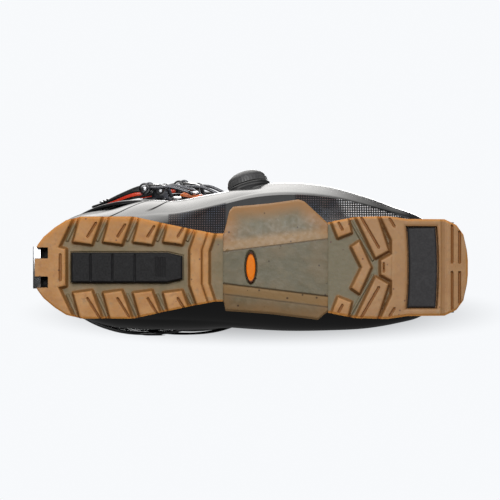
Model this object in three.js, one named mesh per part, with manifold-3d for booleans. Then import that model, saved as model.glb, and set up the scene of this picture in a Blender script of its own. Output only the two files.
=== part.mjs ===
// A right-foot alpine touring ski boot, standing on its sole.
// +X points to the toe, +Y to the medial (inner) side, +Z up. Millimetres.
// The origin is the centre of the heel contact pad, on the plane that the boot stands on.
import * as THREE from 'three';
import { mergeVertices } from 'three/addons/utils/BufferGeometryUtils.js';
import Module from 'manifold-3d';

const wasm = await Module();
wasm.setup();

// ---------- driving dimensions ----------
const GAP = 0.4; // clearance between pieces that touch
const PIVOT = { x: 15, z: 98 }; // ankle hinge of the cuff
const SHELL_WALL = 4;
const CUFF_WALL = 3.4;
const FLAP_STEP = CUFF_WALL + 0.8; // how far the inner front flap of the cuff lies under the outer one
const LUG_HEIGHT = 5;
const HEEL_TOP = 20; // top of the rubber around the heel
const TOE_LIP_TOP = 26; // top of the rubber lip that a binding holds
const ROCKER_START = 172;
const TOE_FRONT = 243;
const ROCKER_RISE = 9;
const PAD_HALF = { heel: 10.7, toe: 28.6 };
const LINER_THICK = 8;

const DEG = Math.PI / 180;

// ---------- small geometry tools ----------
const shapeOf = (points) => new THREE.Shape(points.map(([x, y]) => new THREE.Vector2(x, y)));
const mirrored = (points) => points.map(([x, y]) => [x, -y]).reverse();
const bothSides = (points) => [...points, ...mirrored(points)];

function solid(geometry, matrix) {
  const bare = new THREE.BufferGeometry();
  bare.setAttribute('position', geometry.getAttribute('position').clone());
  if (geometry.index) bare.setIndex(geometry.index.clone());
  if (matrix) bare.applyMatrix4(matrix);
  const merged = mergeVertices(bare, 1e-3);
  const triVerts = new Uint32Array(merged.index.array);
  const vertProperties = merged.attributes.position.array;
  const make = () => new wasm.Manifold(new wasm.Mesh({ numProp: 3, vertProperties, triVerts }));
  const first = make();
  if (first.volume() > 0) return first;
  for (let i = 0; i < triVerts.length; i += 3) {
    [triVerts[i], triVerts[i + 1]] = [triVerts[i + 1], triVerts[i]];
  }
  return make();
}

function geometryOf(body) {
  const mesh = body.getMesh();
  const positions = new Float32Array(mesh.numVert * 3);
  for (let i = 0; i < mesh.numVert; i++) {
    for (let k = 0; k < 3; k++) positions[3 * i + k] = mesh.vertProperties[i * mesh.numProp + k];
  }
  const geometry = new THREE.BufferGeometry();
  geometry.setAttribute('position', new THREE.BufferAttribute(positions, 3));
  geometry.setIndex(new THREE.BufferAttribute(new Uint32Array(mesh.triVerts), 1));
  return geometry;
}

const largest = (body) => body.decompose().sort((a, b) => b.volume() - a.volume())[0];

// Plan outline (x, y) extruded from z0 to z1.
function prism(points, z0, z1) {
  const geometry = new THREE.ExtrudeGeometry(shapeOf(points), { depth: z1 - z0, bevelEnabled: false });
  return solid(geometry.translate(0, 0, z0));
}

// Side outline (x, z) extruded through the whole width.
function sidePrism(points, y0 = -120, y1 = 120) {
  const geometry = new THREE.ExtrudeGeometry(shapeOf(points), { depth: y1 - y0, bevelEnabled: false });
  return solid(geometry.rotateX(Math.PI / 2).translate(0, y1, 0));
}

const box = (x0, x1, y0, y1, z0, z1) =>
  solid(
    new THREE.BoxGeometry(x1 - x0, y1 - y0, z1 - z0)
      .translate((x0 + x1) / 2, (y0 + y1) / 2, (z0 + z1) / 2),
  );

// A solid through closed rings of points, one ring after another, with both ends capped.
function loft(rings) {
  const count = rings[0].length;
  const positions = [];
  const index = [];
  rings.forEach((ring) => ring.forEach((p) => positions.push(p.x, p.y, p.z)));
  for (let r = 0; r + 1 < rings.length; r++) {
    for (let i = 0; i < count; i++) {
      const a = r * count + i;
      const b = r * count + ((i + 1) % count);
      index.push(a, b, a + count, b, b + count, a + count);
    }
  }
  [0, rings.length - 1].forEach((r, end) => {
    const centre = rings[r].reduce((sum, p) => sum.add(p), new THREE.Vector3()).divideScalar(count);
    const c = positions.length / 3;
    positions.push(centre.x, centre.y, centre.z);
    for (let i = 0; i < count; i++) {
      const a = r * count + i;
      const b = r * count + ((i + 1) % count);
      if (end) index.push(a, b, c);
      else index.push(b, a, c);
    }
  });
  return solid(gridGeometry(positions, index));
}

function gridGeometry(positions, index) {
  const geometry = new THREE.BufferGeometry();
  geometry.setAttribute('position', new THREE.Float32BufferAttribute(positions, 3));
  geometry.setIndex(index);
  return geometry;
}

// A closed plate between two offset copies of a surface patch: point(i, j, side), with i and j from 0 to 1.
function plate(point, rows, columns) {
  const positions = [];
  const index = [];
  const at = (side, i, j) => side * (rows + 1) * (columns + 1) + i * (columns + 1) + j;
  for (let side = 0; side < 2; side++) {
    for (let i = 0; i <= rows; i++) {
      for (let j = 0; j <= columns; j++) {
        const p = point(i / rows, j / columns, side);
        positions.push(p.x, p.y, p.z);
      }
    }
  }
  const quad = (a, b, c, d) => index.push(a, b, c, a, c, d);
  for (let i = 0; i < rows; i++) {
    for (let j = 0; j < columns; j++) {
      quad(at(0, i, j), at(0, i + 1, j), at(0, i + 1, j + 1), at(0, i, j + 1));
      quad(at(1, i, j), at(1, i, j + 1), at(1, i + 1, j + 1), at(1, i + 1, j));
    }
  }
  for (let i = 0; i < rows; i++) {
    quad(at(0, i, 0), at(1, i, 0), at(1, i + 1, 0), at(0, i + 1, 0));
    quad(at(0, i, columns), at(0, i + 1, columns), at(1, i + 1, columns), at(1, i, columns));
  }
  for (let j = 0; j < columns; j++) {
    quad(at(0, 0, j), at(0, 0, j + 1), at(1, 0, j + 1), at(1, 0, j));
    quad(at(0, rows, j), at(1, rows, j), at(1, rows, j + 1), at(0, rows, j + 1));
  }
  return solid(gridGeometry(positions, index));
}

// A round bar along a curve.
function bar(points, radius, steps, sides = 8, closed = false) {
  const section = new THREE.Shape();
  for (let i = 0; i < sides; i++) {
    const a = (i / sides) * 2 * Math.PI;
    if (i) section.lineTo(radius * Math.cos(a), radius * Math.sin(a));
    else section.moveTo(radius, 0);
  }
  const path = new THREE.CatmullRomCurve3(points, closed, 'centripetal');
  return new THREE.ExtrudeGeometry(section, { steps, bevelEnabled: false, extrudePath: path });
}

// Uniform Catmull-Rom through the rows of a table, at row number u.
function row(table, u) {
  const last = table.length - 1;
  const i = Math.min(Math.max(Math.floor(u), 0), last - 1);
  const f = u - i;
  const [p0, p1, p2, p3] = [i - 1, i, i + 1, i + 2].map((k) => table[Math.min(Math.max(k, 0), last)]);
  return p1.map((_, k) => {
    const a = 2 * p1[k];
    const b = p2[k] - p0[k];
    const c = 2 * p0[k] - 5 * p1[k] + 4 * p2[k] - p3[k];
    const d = -p0[k] + 3 * p1[k] - 3 * p2[k] + p3[k];
    return 0.5 * (a + f * (b + f * (c + f * d)));
  });
}

// The same, where the first column is the variable.
function lookUp(table, value) {
  const last = table.length - 1;
  if (value <= table[0][0]) return table[0].slice(1);
  if (value >= table[last][0]) return table[last].slice(1);
  const i = table.findIndex((r, k) => value <= table[k + 1][0]);
  const f = (value - table[i][0]) / (table[i + 1][0] - table[i][0]);
  return row(table.map((r) => r.slice(1)), i + f);
}

const power = (value, exponent) => Math.sign(value) * Math.abs(value) ** exponent;

// A point moved off a surface along its normal; surface(a, b) gives the points.
function offSurface(surface, a, b, offset, da, db, side) {
  const p = surface(a, b);
  if (!offset) return p;
  const alongA = surface(a + da, b).sub(surface(a - da, b));
  const alongB = surface(a, b + db).sub(surface(a, b - db));
  return p.addScaledVector(alongA.cross(alongB).normalize(), offset * side);
}

// ---------- lower shell surface ----------
// Each row is one ring: its low point (x, z), its high point (x, z), lateral and medial half-width.
// The rings run from the toe, along the foot, round the heel and up to the collar.
const SHELL_RINGS = [
  [228, 34, 227, 46, 12, 12],
  [225, 28, 222, 56, 25, 24],
  [214, 24, 208, 64, 36, 35.5],
  [198, 20, 190, 71, 43, 40.5],
  [175, 16, 165, 79, 51.5, 44.5],
  [148, 13.5, 138, 90, 59, 46],
  [118, 13, 114, 103, 62, 46.5],
  [88, 13, 98, 114, 60, 45.5],
  [58, 13, 88, 124, 53, 44],
  [28, 12.5, 82, 131, 46.5, 43],
  [-2, 12.5, 79, 137, 43.5, 43],
  [-30, 13, 77, 142, 42.5, 42],
  [-52, 18, 75, 147, 42.5, 41.2],
  [-61, 36, 74, 151, 43, 41],
  [-60.5, 60, 73, 156, 43, 41],
  [-55, 90, 72, 162, 43, 40.6],
  [-51, 118, 72, 169, 42, 39.6],
  [-49, 150, 73, 182, 41, 38.6],
  [-47, 182, 75, 214, 41, 38.6],
];
const SHELL_END = SHELL_RINGS.length - 1;
const WIDEST_AT = 0.42; // share of a ring's height where it is widest

function shellSurface(u, v) {
  const [lowX, lowZ, highX, highZ, lateral, medial] = row(SHELL_RINGS, u);
  const exponent = 2 / (Math.cos(v) > 0 ? 2.2 : 2.7);
  const up = power(Math.cos(v), exponent);
  const out = power(Math.sin(v), exponent);
  const share = WIDEST_AT + up * (up > 0 ? 1 - WIDEST_AT : WIDEST_AT);
  const y = out > 0 ? -out * lateral : -out * medial;
  return new THREE.Vector3(lowX + (highX - lowX) * share, y, lowZ + (highZ - lowZ) * share);
}
const shellPoint = (u, v, offset = 0) => offSurface(shellSurface, u, v, offset, 0.05, 0.03, 1);

function shellLoft(offset, from = 0, steps = 22, around = 24) {
  const rings = [];
  for (let r = 0; r <= steps; r++) {
    const u = from + ((SHELL_END - from) * r) / steps;
    const ring = [];
    for (let i = 0; i < around; i++) ring.push(shellPoint(u, ((i + 0.5) / around) * 2 * Math.PI, offset));
    rings.push(ring);
  }
  return loft(rings);
}

// ---------- cuff surface ----------
// Each row is one level: height, rear x, front x, lateral and medial half-width.
const CUFF_LEVELS = [
  [50, -66, 82, 50.5, 46.5],
  [90, -66.5, 82, 50.5, 46.5],
  [130, -66, 82, 51, 47],
  [165, -62, 84, 52, 48],
  [205, -54.5, 89, 54.5, 48.8],
  [245, -45, 95, 57, 49.8],
  [285, -35, 101, 59.5, 50.8],
  [330, -25, 107, 62, 52],
];
const CUFF_TILT = 0.0009; // how much the levels tip towards the toe per millimetre of height above the pivot

// Turn 0 is the front, and turn grows towards the lateral side.
function cuffSurface(level, turn) {
  const [rear, front, lateral, medial] = lookUp(CUFF_LEVELS, level);
  const forward = power(Math.cos(turn), 2 / 2.35);
  const out = power(Math.sin(turn), 2 / 2.35);
  const x = (rear + front) / 2 + (forward * (front - rear)) / 2;
  const tip = Math.max(level - PIVOT.z, 0) * CUFF_TILT * (x - PIVOT.x);
  return new THREE.Vector3(x, out > 0 ? -out * lateral : -out * medial, level - tip);
}
const cuffPoint = (level, turn, offset = 0) => offSurface(cuffSurface, level, turn, offset, 0.5, 0.02, 1);

// Height of the cuff's lower and upper edges by angle from the front, in degrees.
const CUFF_LOWER_EDGE = [
  [0, 172], [28, 168], [48, 150], [60, 128], [70, 98], [79, 75], [88, 69], [97, 75], [108, 96], [124, 116],
  [145, 124], [164, 127], [171, 141], [180, 143],
];
const CUFF_UPPER_EDGE = [[0, 284], [45, 288], [90, 292], [140, 303], [180, 308]];
const fold = (turn) => Math.abs(((((turn / DEG) % 360) + 540) % 360) - 180);
const edgeAt = (table, turn) => lookUp(table, fold(turn))[0];
const smooth = (share) => {
  const s = THREE.MathUtils.clamp(share, 0, 1);
  return s * s * (3 - 2 * s);
};

// A band round the leg that ends on top of itself: it starts as the inner flap and finishes as the outer one.
const CUFF_WRAP = { start: 5 * DEG, finish: 424 * DEG };
const wrapOffset = (turn, step) => step * smooth((turn / DEG - 215) / 60);

function cuffBody() {
  const { start, finish } = CUFF_WRAP;
  const band = plate(
    (i, j, side) => {
      const turn = start + (finish - start) * j;
      const low = edgeAt(CUFF_LOWER_EDGE, turn);
      const level = low + (edgeAt(CUFF_UPPER_EDGE, turn) - low) * i;
      return cuffPoint(level, turn, wrapOffset(turn, FLAP_STEP) - side * CUFF_WALL);
    },
    4,
    52,
  );
  return band.subtract(acrossPivot(PIVOT_BOLT.barrel + GAP, 240));
}

// ---------- sole ----------
const HEEL_HALF_OUTLINE = [
  [-65.7, 6.6], [-65.2, 12], [-63, 16.5], [-59, 21.8], [-51, 28.5], [-43, 33.6], [-33, 36.2], [5, 36.2],
  [26, 31.5], [45, 27.5], [62, 24.2], [68, 24.2],
];
const TOE_HALF_OUTLINE = [
  [143.2, 32.2], [161.7, 35.9], [185, 36.5], [199, 34.5], [226, 34.4], [234.5, 30.3], [239.6, 23.5],
  [242.2, 12], [243, 4],
];
const HEEL_LUG = [[-37.7, -18.4], [-25.2, -16.7], [-16.7, -40], [-31.7, -40]];
const HEEL_LUG_PITCH = 21.2;
const HEEL_REAR_LUG = [
  [-80, -50], [-36.5, -40], [-48.8, -14.1], [-43.7, -12.8], [-43.7, 12.8], [-48.8, 14.1], [-36.5, 40],
  [-80, 50],
];
const HEEL_CHEVRON = bothSides([[52, -30], [45, -13]]).concat(bothSides([[57.5, 12.4], [66, 30]]));
const TOE_SIDE_LUG = [[143.6, -38], [155.8, -38], [159, -24.9], [150.1, -21.4]];
const TOE_LONG_LUG = [[161, -40], [176.3, -40], [185.3, -12], [176.7, -7.2]];
const TOE_CHEVRON = [[164.8, -18], [173, 0], [164.8, 18], [159.8, 14.5], [167, 0], [159.8, -14.5]];
const TOE_FRONT_BLOCK = [
  [178.8, -40], [188.3, -19.3], [188.3, -9], [180.6, -4.7], [180.6, 4.7], [188.3, 9], [188.3, 19.3],
  [178.8, 40], [250, 40], [250, -40],
];

const rockerHeight = (x) => {
  const share = Math.max(x - ROCKER_START, 0) / (TOE_FRONT - ROCKER_START);
  return ROCKER_RISE * share ** 1.6;
};

function rockerProfile(lift, top) {
  const points = [];
  for (let x = 140; x <= 246; x += x < ROCKER_START ? 32 : 7.4) points.push([x, rockerHeight(x) + lift]);
  points.push([250, rockerHeight(250) + lift], [250, top], [200, top], [180, HEEL_TOP], [140, HEEL_TOP]);
  return sidePrism(points);
}

function heelOutsole(shellSpace) {
  const outline = prism(bothSides(HEEL_HALF_OUTLINE), 0, HEEL_TOP);
  let tread = prism(HEEL_REAR_LUG, 0, LUG_HEIGHT + 1).add(prism(HEEL_CHEVRON, 0, LUG_HEIGHT + 1));
  for (let i = 0; i < 4; i++) {
    const lug = HEEL_LUG.map(([x, y]) => [x + i * HEEL_LUG_PITCH, y]);
    tread = tread.add(prism(lug, 0, LUG_HEIGHT + 1)).add(prism(mirrored(lug), 0, LUG_HEIGHT + 1));
  }
  let rubber = outline.subtract(box(-80, 80, -50, 50, -1, LUG_HEIGHT)).add(tread.intersect(outline));
  [-1, 1].forEach((side) => {
    const [near, far] = [6.6 * side, 14 * side].sort((a, b) => a - b);
    rubber = rubber.subtract(box(-80, -56.2, near, far, -1, HEEL_TOP + 1));
  });
  rubber = rubber.subtract(prism(heelPadOutline(GAP), -1, LUG_HEIGHT + GAP));
  const insertRoom = box(-80, -61.6 + GAP, -15 - GAP, 15 + GAP, LUG_HEIGHT + 2 - GAP, 40);
  return rubber.subtract(shellSpace).subtract(insertRoom);
}

function heelPadOutline(grow) {
  const half = PAD_HALF.heel + grow;
  return bothSides([[-39.4 - grow, -half], [28.6, -half], [39.4 + grow, -8.2 - grow]]);
}

function toeOutsole(shellSpace) {
  const outline = prism(bothSides(TOE_HALF_OUTLINE), -1, 40);
  let tread = prism(TOE_FRONT_BLOCK, -1, 18).add(prism(TOE_CHEVRON, -1, LUG_HEIGHT + 1));
  [TOE_SIDE_LUG, TOE_LONG_LUG].forEach((lug) => {
    tread = tread.add(prism(lug, -1, LUG_HEIGHT + 3)).add(prism(mirrored(lug), -1, LUG_HEIGHT + 3));
  });
  const body = rockerProfile(LUG_HEIGHT, TOE_LIP_TOP);
  let rubber = body.add(rockerProfile(0, TOE_LIP_TOP).intersect(tread)).intersect(outline);
  rubber = rubber.subtract(prism(toePadOutline(GAP), -1, TOE_PAD.top + GAP)).subtract(shellSpace);
  [-1, 1].forEach((side) => (rubber = rubber.subtract(toeInsertBlank(side, GAP))));
  return rubber;
}

const TOE_PAD = { x0: 199.4, x1: 220.6, bottom: 5.5, top: 9.5 };
function toePadOutline(grow) {
  const half = PAD_HALF.toe + grow;
  const [x0, x1] = [TOE_PAD.x0 - grow, TOE_PAD.x1 + grow];
  return [[x0, -half], [x1, -half], [x1, half], [x0, half]];
}

const TOE_INSERT = { x: 228, y: 33, z: 16.5, radius: 5.6, depth: 7 };
function toeInsertBlank(side, grow) {
  const geometry = new THREE.CylinderGeometry(TOE_INSERT.radius + grow, TOE_INSERT.radius + grow, 20, 20);
  const inner = TOE_INSERT.y - TOE_INSERT.depth - grow;
  return solid(geometry.translate(TOE_INSERT.x, side * (inner + 10), TOE_INSERT.z));
}

function toeInsert(side) {
  const { x, y, z, radius, depth } = TOE_INSERT;
  const profile = [[0, 0], [radius, 0], [radius, depth], [3.4, depth], [0.8, depth - 3.4], [0, depth - 3.4]];
  const turned = new THREE.LatheGeometry(profile.map(([r, h]) => new THREE.Vector2(r, h)), 20);
  const faced = turned.translate(0, -depth, 0);
  if (side < 0) faced.rotateX(Math.PI);
  return solid(faced.translate(x, side * y, z));
}

const ARCH_OUTLINE = [
  [68.8, -24.5], [72.6, -40.5], [75.2, -43.6], [101.5, -46], [122, -48.8], [126.3, -47.4], [142.4, -32],
  [142.4, 32], [140.2, 33.6], [136, 37.4], [101.5, 33.3], [69.8, 31], [68.8, 25],
];

function archSurface(x, y) {
  const along = (x - 68) / 75;
  const crown = 7 + 2.5 * Math.sin(Math.PI * along);
  const side = Math.max(Math.abs(y) - (14 + 12 * along), 0);
  return crown + 0.011 * side ** 2 + (side > 0 ? 0.8 : 0);
}

function archOutsole(shellSpace) {
  const body = plate(
    (i, j, side) => {
      const x = 66 + 80 * i;
      const y = -52 + 96 * j;
      return new THREE.Vector3(x, y, side ? 34 : archSurface(x, y));
    },
    6,
    24,
  );
  const cut = body.intersect(prism(ARCH_OUTLINE, 0, 40)).subtract(shellSpace);
  return largest(cut.subtract(badgeBlank(GAP, 2.5)));
}

const BADGE = { x: 88, halfLength: 11.4, halfWidth: 3.7 };
function badgeBlank(grow, depth) {
  const outline = new THREE.Shape();
  outline.absellipse(0, 0, BADGE.halfWidth + grow, BADGE.halfLength + grow, 0, 2 * Math.PI);
  const geometry = new THREE.ExtrudeGeometry(outline, { depth: 10, bevelEnabled: false, curveSegments: 12 });
  const top = archSurface(BADGE.x, 0) + depth;
  return solid(geometry.translate(BADGE.x, 0, top - 10));
}

// ---------- ankle hinge and walk lock ----------
const PIVOT_BOLT = { barrel: 6, stem: 3.8, head: 8.5, headThick: 2.4 };
const LOCK = {
  pin: { angle: 178 * DEG, reach: 81, radius: 2.5 },
  bar: { halfWidth: 5.4, thick: 4.4, axleX: -71.5, axleZ: 181, axleRadius: 2.2, clear: 85, notch: 3.2 },
  lever: { axleX: -68.5, axleZ: 200, axleRadius: 2.4, length: 46, halfWidth: 9 },
  cheek: { inner: 6, outer: 8.6 },
};
const PIN_AT = {
  x: PIVOT.x + LOCK.pin.reach * Math.cos(LOCK.pin.angle),
  z: PIVOT.z + LOCK.pin.reach * Math.sin(LOCK.pin.angle),
};

const acrossAt = (x, z, radius, length, sides = 24) =>
  solid(new THREE.CylinderGeometry(radius, radius, length, sides).translate(x, 0, z));
const acrossPivot = (radius, length) => acrossAt(PIVOT.x, PIVOT.z, radius, length, 32);

// A side outline (x, z) with thickness from y0 to y1.
const cheekPair = (outline, inner, outer) => [
  sidePrism(outline, -outer, -inner),
  sidePrism(outline, inner, outer),
];

function pivotBolt(side) {
  const { barrel, stem, head, headThick } = PIVOT_BOLT;
  const outside = side < 0 ? 51.2 : 51.8;
  const shoulder = 44.6;
  const profile = [
    [0, 38.5], [stem, 38.5], [stem, shoulder], [barrel, shoulder], [barrel, outside], [head, outside],
    [head, outside + headThick - 1], [head - 1, outside + headThick], [2.6, outside + headThick],
    [2.2, outside + headThick - 1.4], [0, outside + headThick - 1.4],
  ];
  const turned = new THREE.LatheGeometry(profile.map(([r, h]) => new THREE.Vector2(r, h)), 16);
  if (side < 0) turned.rotateX(Math.PI);
  return solid(turned.translate(PIVOT.x, 0, PIVOT.z));
}

function lockPlate() {
  const { inner, outer } = LOCK.cheek;
  const { x, z } = PIN_AT;
  const side = [
    [-40, z - 17], [-60, z - 15], [x - 1, z - 5.5], [x - 3.4, z], [x - 1, z + 5], [-58, z + 13],
    [-40, z + 14],
  ];
  const [left, right] = cheekPair(side, inner, outer);
  const base = sidePrism([[-40, z - 18], [-56.5, z - 18], [-56.5, z + 14], [-40, z + 14]], -outer, outer);
  const bore = acrossAt(x, z, LOCK.pin.radius + GAP, 40);
  return left.add(right).add(base).subtract(bore).subtract(shellSpace);
}

// The bar hangs outside the spine and bends in towards the pin, which its notch takes when it locks.
function lockBar() {
  const { halfWidth, thick, axleX, axleZ, axleRadius, clear, notch } = LOCK.bar;
  const onArc = (radius, degrees) => [
    PIVOT.x + radius * Math.cos(degrees * DEG),
    PIVOT.z + radius * Math.sin(degrees * DEG),
  ];
  const outline = [
    [axleX + 3.6, axleZ - 3], [axleX + 3.2, axleZ + 3], [axleX, axleZ + 6], [axleX - 3.4, axleZ + 3],
    [axleX - 4, axleZ - 20], [-76.6, 128], onArc(clear + thick + 0.8, 173), onArc(clear + thick + 0.8, 178),
    onArc(clear + thick, 182), onArc(clear, 182.6), onArc(clear, 180.2), onArc(clear + notch, 180),
    onArc(clear + notch, 176), onArc(clear, 175.8), onArc(clear, 172), [-71, 128], [axleX + 0.6, axleZ - 20],
  ];
  return sidePrism(outline, -halfWidth, halfWidth).subtract(acrossAt(axleX, axleZ, axleRadius + GAP, 40, 16));
}

function leverBracket(cuffSpace) {
  const { axleX, axleZ, axleRadius } = LOCK.lever;
  const outline = [
    [-40, 168], [-64, 168], [LOCK.bar.axleX - 4.6, 174], [LOCK.bar.axleX - 4.6, 187], [axleX - 5, 204],
    [axleX + 2, 208], [-40, 214],
  ];
  const { inner, outer } = LOCK.cheek;
  const [left, right] = cheekPair(outline, inner, outer);
  const base = sidePrism([[-40, 168], [-66, 168], [-60, 212], [-40, 212]], -outer, outer);
  return left
    .add(right)
    .add(base)
    .subtract(acrossAt(axleX, axleZ, axleRadius + GAP, 40, 16))
    .subtract(acrossAt(LOCK.bar.axleX, LOCK.bar.axleZ, LOCK.bar.axleRadius + GAP, 40, 16))
    .subtract(cuffSpace);
}

// The lever is a fork round the bracket's cheeks; it points up the spine to walk and folds down over the
// bar to ski.
function walkLever() {
  const { axleX, axleZ, axleRadius, length, halfWidth } = LOCK.lever;
  const up = (x, z) => [axleX + x + z * 0.2, axleZ + z];
  const outline = [
    up(-4.6, -3.4), up(3.6, -4.4), up(4.8, 0), up(4.2, 10), up(3.6, length - 6), up(1.4, length),
    up(-1.6, length - 1), up(-1.4, 22), up(-3.4, 10), up(-5, 3),
  ];
  const fork = sidePrism(outline, -halfWidth - 2.6, halfWidth + 2.6);
  const slot = box(-100, -40, -halfWidth - GAP, halfWidth + GAP, 180, axleZ + 34);
  return fork.subtract(slot).subtract(acrossAt(axleX, axleZ, axleRadius + GAP, 60, 16));
}

// ---------- buckles ----------
// Local frame of a piece on the cuff: x forward along the strap, y into the leg, z up the leg.
function cuffFrame(level, turn) {
  const origin = cuffPoint(level, turn);
  const inward = cuffPoint(level, turn, -1).sub(origin).normalize();
  const up = cuffPoint(level + 1, turn).sub(cuffPoint(level - 1, turn)).normalize();
  const forward = new THREE.Vector3().crossVectors(inward, up).normalize();
  up.crossVectors(forward, inward);
  return new THREE.Matrix4().makeBasis(forward, inward, up).setPosition(origin);
}

const BUCKLES = [
  { name: 'lower', level: 181, turn: 87.8 * DEG },
  { name: 'upper', level: 238, turn: 78 * DEG },
];
const PIN_OUT = 8.6; // how far the lever's pin stands off the cuff
const LEVER = { half: 7.4, bailBack: 12.4, bailOut: 9.4 };
const CHEEK = { inner: 7.8, outer: 9.8 };
const BAIL = { wire: 1.3, half: 14, ring: 3.4, reach: 24.4 };
const LADDER = {
  from: 15, to: 45, half: 9, low: FLAP_STEP + 0.6, thick: 2.2, teeth: [20.6, 28], rivets: [34, 41],
};

// The turn that lies a distance forward of a buckle's pin, measured round the cuff.
function turnAhead(buckle, distance) {
  const step = 0.25 * DEG * Math.sign(distance || 1);
  let turn = buckle.turn;
  let left = Math.abs(distance);
  while (left > 0) {
    left -= cuffSurface(buckle.level, turn).distanceTo(cuffSurface(buckle.level, turn - step));
    turn -= step;
  }
  return turn;
}

// A point given by its distance forward and its height off the cuff, in the buckle's local frame.
function strapPoint(buckle, distance, offset) {
  const inverse = cuffFrame(buckle.level, buckle.turn).invert();
  return cuffPoint(buckle.level, turnAhead(buckle, distance), offset).applyMatrix4(inverse);
}
const strapOutline = (buckle, pairs) => pairs.map(([distance, offset]) => {
  const p = strapPoint(buckle, distance, offset);
  return [p.x, p.y];
});

function slab(outline, half) {
  const geometry = new THREE.ExtrudeGeometry(shapeOf(outline), { depth: 2 * half, bevelEnabled: false });
  return solid(geometry.translate(0, 0, -half));
}
const pinBore = (x, y, radius) =>
  solid(new THREE.CylinderGeometry(radius, radius, 60, 16).rotateX(Math.PI / 2).translate(x, y, 0));

function buckleBracket(buckle, cuffSpace) {
  const foot = strapOutline(buckle, [[-9.5, 2.4], [-9.5, -4], [0, -4], [9.5, -4], [9.5, 2.4], [0, 2.8]]);
  const cheek = [
    ...strapOutline(buckle, [[-8, -4], [0, -4], [8, -4]]),
    [3.6, -PIN_OUT - 2.4], [0, -PIN_OUT - 3.8], [-3.6, -PIN_OUT - 2.4],
  ];
  const between = slab(cheek.map(([x, y]) => [x * 1.5, y * 1.5]), CHEEK.inner);
  const cheeks = slab(cheek, CHEEK.outer).subtract(between);
  return slab(foot, CHEEK.outer).add(cheeks).subtract(pinBore(0, -PIN_OUT, 1.9 + GAP)).subtract(cuffSpace);
}

function buckleLever(buckle) {
  const skin = [[-5, 12.4], [-14, 12.8], [-26, 9.6], [-38, 6.4], [-48, 5.4], [-54, 6]];
  const inside = [[-54, 4.2], [-48, 2.2], [-38, 2], [-26, 5], [-17.5, 6], [-13, 5.6], [-7, 6.4]];
  const outline = [...strapOutline(buckle, skin), ...strapOutline(buckle, inside)];
  const hub = [];
  for (let i = 0; i <= 8; i++) {
    const a = (100 - i * 25) * DEG;
    hub.push([3.9 * Math.cos(a), -PIN_OUT + 3.9 * Math.sin(a)]);
  }
  return slab([...outline, ...hub], LEVER.half)
    .subtract(pinBore(0, -PIN_OUT, 1.9 + GAP))
    .subtract(pinBore(-LEVER.bailBack, -LEVER.bailOut, 1.7 + GAP));
}

// A pin along z with a domed head at each end.
function domedPin(radius, half, head) {
  const profile = [
    [0, -half - 2.2], [head * 0.6, -half - 1.8], [head, -half - 0.6], [head, -half], [radius, -half],
    [radius, half], [head, half], [head, half + 0.6], [head * 0.6, half + 1.8], [0, half + 2.2],
  ];
  return new THREE.LatheGeometry(profile.map(([r, h]) => new THREE.Vector2(r, h)), 10).rotateX(Math.PI / 2);
}

function buckleBail(buckle) {
  const { wire, half, ring, reach } = BAIL;
  const [x, y] = [-LEVER.bailBack, -LEVER.bailOut];
  const eyeZ = LEVER.half + 1.9;
  const over = LADDER.low + LADDER.thick + wire + 0.5;
  const mid = strapPoint(buckle, 8, over + 2.6);
  const near = strapPoint(buckle, reach - 5, over + 1);
  const end = strapPoint(buckle, reach, over);
  const arm = (side) => [
    new THREE.Vector3(x + ring + 0.4, y, side * eyeZ),
    new THREE.Vector3(x + ring + 3.6, y - 0.6, side * (half - 0.8)),
    new THREE.Vector3(x + ring + 7, y - 0.8, side * half),
    new THREE.Vector3(mid.x, mid.y, side * half),
    new THREE.Vector3(near.x, near.y, side * (half - 0.4)),
    new THREE.Vector3(end.x - 0.8, end.y, side * (half - 2)),
    new THREE.Vector3(end.x, end.y, side * (half - 4.4)),
  ];
  const loop = solid(bar([...arm(1), ...arm(-1).reverse()], wire, 30, 6));
  const eye = (side) => solid(new THREE.TorusGeometry(ring, wire, 6, 12).translate(x, y, side * eyeZ));
  return loop.add(eye(1)).add(eye(-1));
}

// A rivet's frame on the cuff, with z pointing out of the leg.
function ladderRivetFrame(buckle, distance) {
  const frame = cuffFrame(buckle.level, turnAhead(buckle, distance));
  return frame.multiply(new THREE.Matrix4().makeRotationX(Math.PI / 2));
}
function ladderRivet() {
  const { low, thick } = LADDER;
  const profile = [
    [0, low + 0.2], [1.5, low + 0.2], [1.5, low + thick + 0.5], [3, low + thick + 0.5],
    [2.8, low + thick + 1.3], [1.8, low + thick + 2], [0, low + thick + 2.3],
  ];
  return turnedZ(profile, 12);
}

function buckleLadder(buckle) {
  const { from, to, half, low, thick, teeth } = LADDER;
  const inverse = cuffFrame(buckle.level, buckle.turn).invert();
  const turns = [];
  for (let k = 0; k <= 8; k++) turns.push(turnAhead(buckle, from + ((to - from) * k) / 8));
  const rise = 0.94; // height up the leg per millimetre of level
  const strip = plate(
    (i, j, side) => {
      const level = buckle.level + ((2 * i - 1) * half) / rise;
      return cuffPoint(level, turns[Math.round(j * 8)], low + side * thick).applyMatrix4(inverse);
    },
    1,
    8,
  );
  const top = low + thick;
  const tooth = (s) => {
    const outline = [[s - 2.2, top - 0.8], [s - 0.4, top + 2.4], [s + 1.6, top + 2.6], [s + 2, top - 0.8]];
    return slab(strapOutline(buckle, outline), 6.4);
  };
  const body = teeth.reduce((sum, s) => sum.add(tooth(s)), strip);
  return LADDER.rivets.reduce((sum, distance) => {
    const bore = solid(new THREE.CylinderGeometry(1.5 + GAP, 1.5 + GAP, 30, 12).rotateX(Math.PI / 2));
    const place = inverse.clone().multiply(ladderRivetFrame(buckle, distance));
    return sum.subtract(bore.transform(place.elements));
  }, body);
}

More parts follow.
